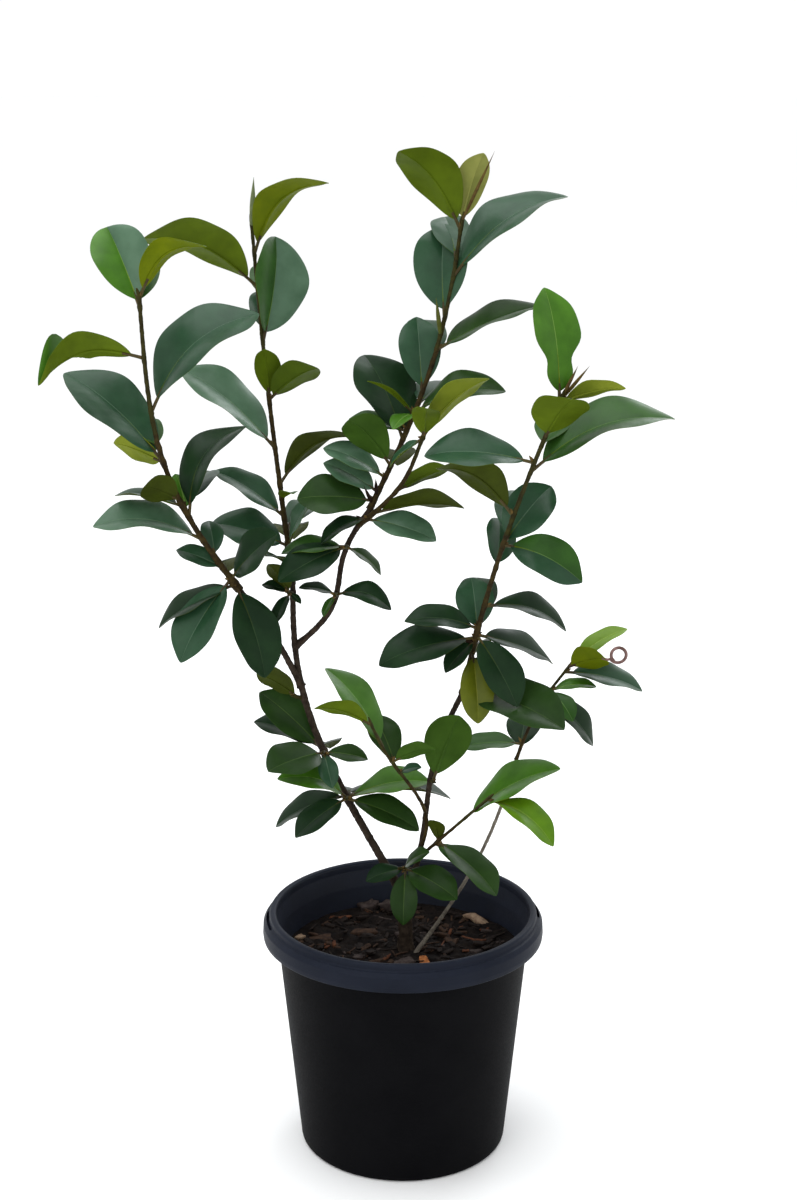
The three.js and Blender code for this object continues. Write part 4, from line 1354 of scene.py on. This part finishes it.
def add_chip(sheaf, place, size, spin_deg, tip_deg, bend, finish_name, seed):
    """One chip: place on the mix, length, width and thickness, its spin, tip and bend"""
    rise = np.linspace(-math.pi / 2, math.pi / 2, CHIP_RINGS)[:, None]
    turn = steps_round(CHIP_SIDES)[None, :]
    ball = [np.cos(rise) * np.cos(turn), np.cos(rise) * np.sin(turn), np.sin(rise) + 0 * turn]
    block = np.stack([np.sign(part) * np.abs(part) ** SQUARE for part in ball], axis=2).reshape(-1, 3)
    points = block * np.array(size) / 2
    hills = ripple(points + seed, max(size[0] / CHIP_HILLS, FINEST_HILL_MM), seed)
    points *= 1 + CHIP_ROUGH * hills[:, None]
    points[:, 2] += bend * (points[:, 0] ** 2) / size[0]
    points = swung(swung(points, 0, 2, tip_deg), 0, 1, spin_deg)
    level = float(ground_height(np.array([place[0]]), np.array([place[1]]))[0]) + size[2] * CHIP_LIFT
    points = points + np.array([*place, level])
    sheaf.add(points, grid_faces(CHIP_RINGS, CHIP_SIDES, closed=True), finish_name)


# %% Chips on the mix
# Chips that stand out in the photograph: place, size, spin, tip, bend and finish
SEEN_CHIPS = [
    ((15.5, -24.6), (17, 6.5, 2.6), 100, 14, 0.0, "chip_tan"),
    ((58, 50), (28, 9, 3.4), -38, -20, -0.5, "chip_pale"),
    ((34, 26), (10, 2.6, 1.5), 70, 20, 0.0, "chip_red"),
    ((-47, 56), (17, 4.5, 2.2), -8, 5, 0.2, "chip_red"),
    ((-16, -21), (22, 3.2, 1.8), 40, 8, 0.1, "chip_red"),
    ((-26, 76), (15, 11, 6), 20, 10, 0.0, "chip_grey"),
    ((-10, 74), (15, 12, 7), -30, 16, 0.0, "chip_grey"),
    ((-75, 22), (8, 5, 3), 30, 0, 0.0, "chip_pale"),
    ((1, -23), (15, 10, 4), 15, 6, 0.0, "chip_grey"),
    ((-28, 30), (20, 9, 4), -10, 7, 0.0, "chip_brown"),
    ((52, 19), (20, 2.6, 1.5), -28, 4, 0.3, "chip_red"),
    ((-60, 22), (17, 9, 3.5), 6, 5, 0.0, "chip_brown"),
]
SEEN_SEED = 900
LOOSE_CHIPS = 300
SLIVERS = 130
CHIP_SEED = 41
CHIP_EDGE_MM = 9
CHIP_SPREAD = (0.015, 1)
CHIP_LONG_MM = (3, 11)
CHIP_WIDE = (0.25, 0.6)
CHIP_THICK = (0.15, 0.35)
SLIVER_LONG_MM = (8, 17)
SLIVER_WIDE_MM = (1.0, 1.7)
SLIVER_THICK_MM = (0.7, 1.2)
CHIP_SPIN_DEG = (0, 360)
CHIP_TIP_DEG = (-14, 14)
CHIP_BEND = (-0.2, 0.2)
CHIP_SORTS = ["chip_dark"] * 12 + ["chip_brown"] * 5 + ["chip_red"] + ["chip_grey"]
chips = Sheaf()
for index, chip in enumerate(SEEN_CHIPS):
    add_chip(chips, *chip, SEEN_SEED + index)
draw = np.random.default_rng(CHIP_SEED)
for index in range(LOOSE_CHIPS + SLIVERS):
    reach = (MIX_EDGE_MM - CHIP_EDGE_MM) * math.sqrt(draw.uniform(*CHIP_SPREAD))
    way = draw.uniform(0, 2 * math.pi)
    place = (reach * math.cos(way), reach * math.sin(way))
    if index < LOOSE_CHIPS:
        long = draw.uniform(*CHIP_LONG_MM)
        size = (long, long * draw.uniform(*CHIP_WIDE), long * draw.uniform(*CHIP_THICK))
    else:
        size = [draw.uniform(*span) for span in (SLIVER_LONG_MM, SLIVER_WIDE_MM, SLIVER_THICK_MM)]
    spin, tip, bend = [draw.uniform(*span) for span in (CHIP_SPIN_DEG, CHIP_TIP_DEG, CHIP_BEND)]
    add_chip(chips, place, size, spin, tip, bend, CHIP_SORTS[draw.integers(len(CHIP_SORTS))], index)
make_piece("bark_chips", chips, "potting_mix")
print("chips:", len(SEEN_CHIPS) + LOOSE_CHIPS + SLIVERS)

# %% [markdown]
# The stage is one wide pale floor under an even white sky, so there is no line behind the plant.
# Light comes from above through a large soft panel, with a weaker panel in front and one behind
# for the gloss on the leaves, and the sky fills the shadows.

# %% Stage
FLOOR_RINGS_M = (0.01, 1.0, 60.0)
FLOOR_SIDES = 96
PAPER_COLOUR = (254, 254, 254)
PAPER_ROUGHNESS = 0.9
PAPER_SHINE = 0.1


def stage_material():
    """A plain pale backdrop paper"""
    material = bpy.data.materials.new("backdrop_paper")
    material.use_nodes = True
    shader = material.node_tree.nodes["Principled BSDF"]
    shader.inputs["Base Color"].default_value = tint(*PAPER_COLOUR)
    shader.inputs["Roughness"].default_value = PAPER_ROUGHNESS
    shader.inputs["Specular IOR Level"].default_value = PAPER_SHINE
    return material


floor_points = turned(np.array([[ring, 0.0] for ring in FLOOR_RINGS_M]), FLOOR_SIDES)
floor_mesh = bpy.data.meshes.new("pale_floor")
floor_faces = grid_faces(len(floor_points), FLOOR_SIDES, closed=True)
floor_mesh.from_pydata(floor_points.reshape(-1, 3).tolist(), [], floor_faces.tolist())
floor_mesh.materials.append(stage_material())
pale_floor = bpy.data.objects.new("pale_floor", floor_mesh)
bpy.context.collection.objects.link(pale_floor)
print("floor faces:", len(floor_faces))

# %% Lights
AIM_M = (0.0, 0.0, 0.35)
# Each panel: its place in metres, its width, its power in watts and its colour
PANELS = {
    "top_panel": ((-0.3, 0.1, 2.3), 1.6, 26.0, (0.95, 0.98, 1.0)),
    "front_panel": ((-1.4, -1.9, 1.5), 1.2, 8.0, (1.0, 0.99, 0.97)),
    "back_panel": ((1.0, 1.9, 1.7), 1.2, 14.0, (0.93, 0.97, 1.0)),
}
SKY_COLOUR = (0.985, 0.993, 1.0, 1.0)
SKY_STRENGTH = 1.03

for name, (spot, size, watts, colour) in PANELS.items():
    light = bpy.data.lights.new(name, "AREA")
    light.size = size
    light.energy = watts
    light.color = colour
    panel = bpy.data.objects.new(name, light)
    panel.location = spot
    way = np.array(AIM_M) - np.array(spot)
    flat = math.hypot(way[0], way[1])
    panel.rotation_euler = (math.atan2(flat, -way[2]), 0, math.atan2(-way[0], way[1]))
    bpy.context.collection.objects.link(panel)
world = bpy.data.worlds.new("pale_sky")
world.use_nodes = True
world.node_tree.nodes["Background"].inputs["Color"].default_value = SKY_COLOUR
world.node_tree.nodes["Background"].inputs["Strength"].default_value = SKY_STRENGTH
bpy.context.scene.world = world
bpy.context.scene.view_settings.view_transform = "Standard"
print("panels:", len(PANELS))

# %% Sizes and finish
print("pieces:", len(TOTALS), "triangles:", sum(TOTALS.values()), "largest:", max(TOTALS.values()))
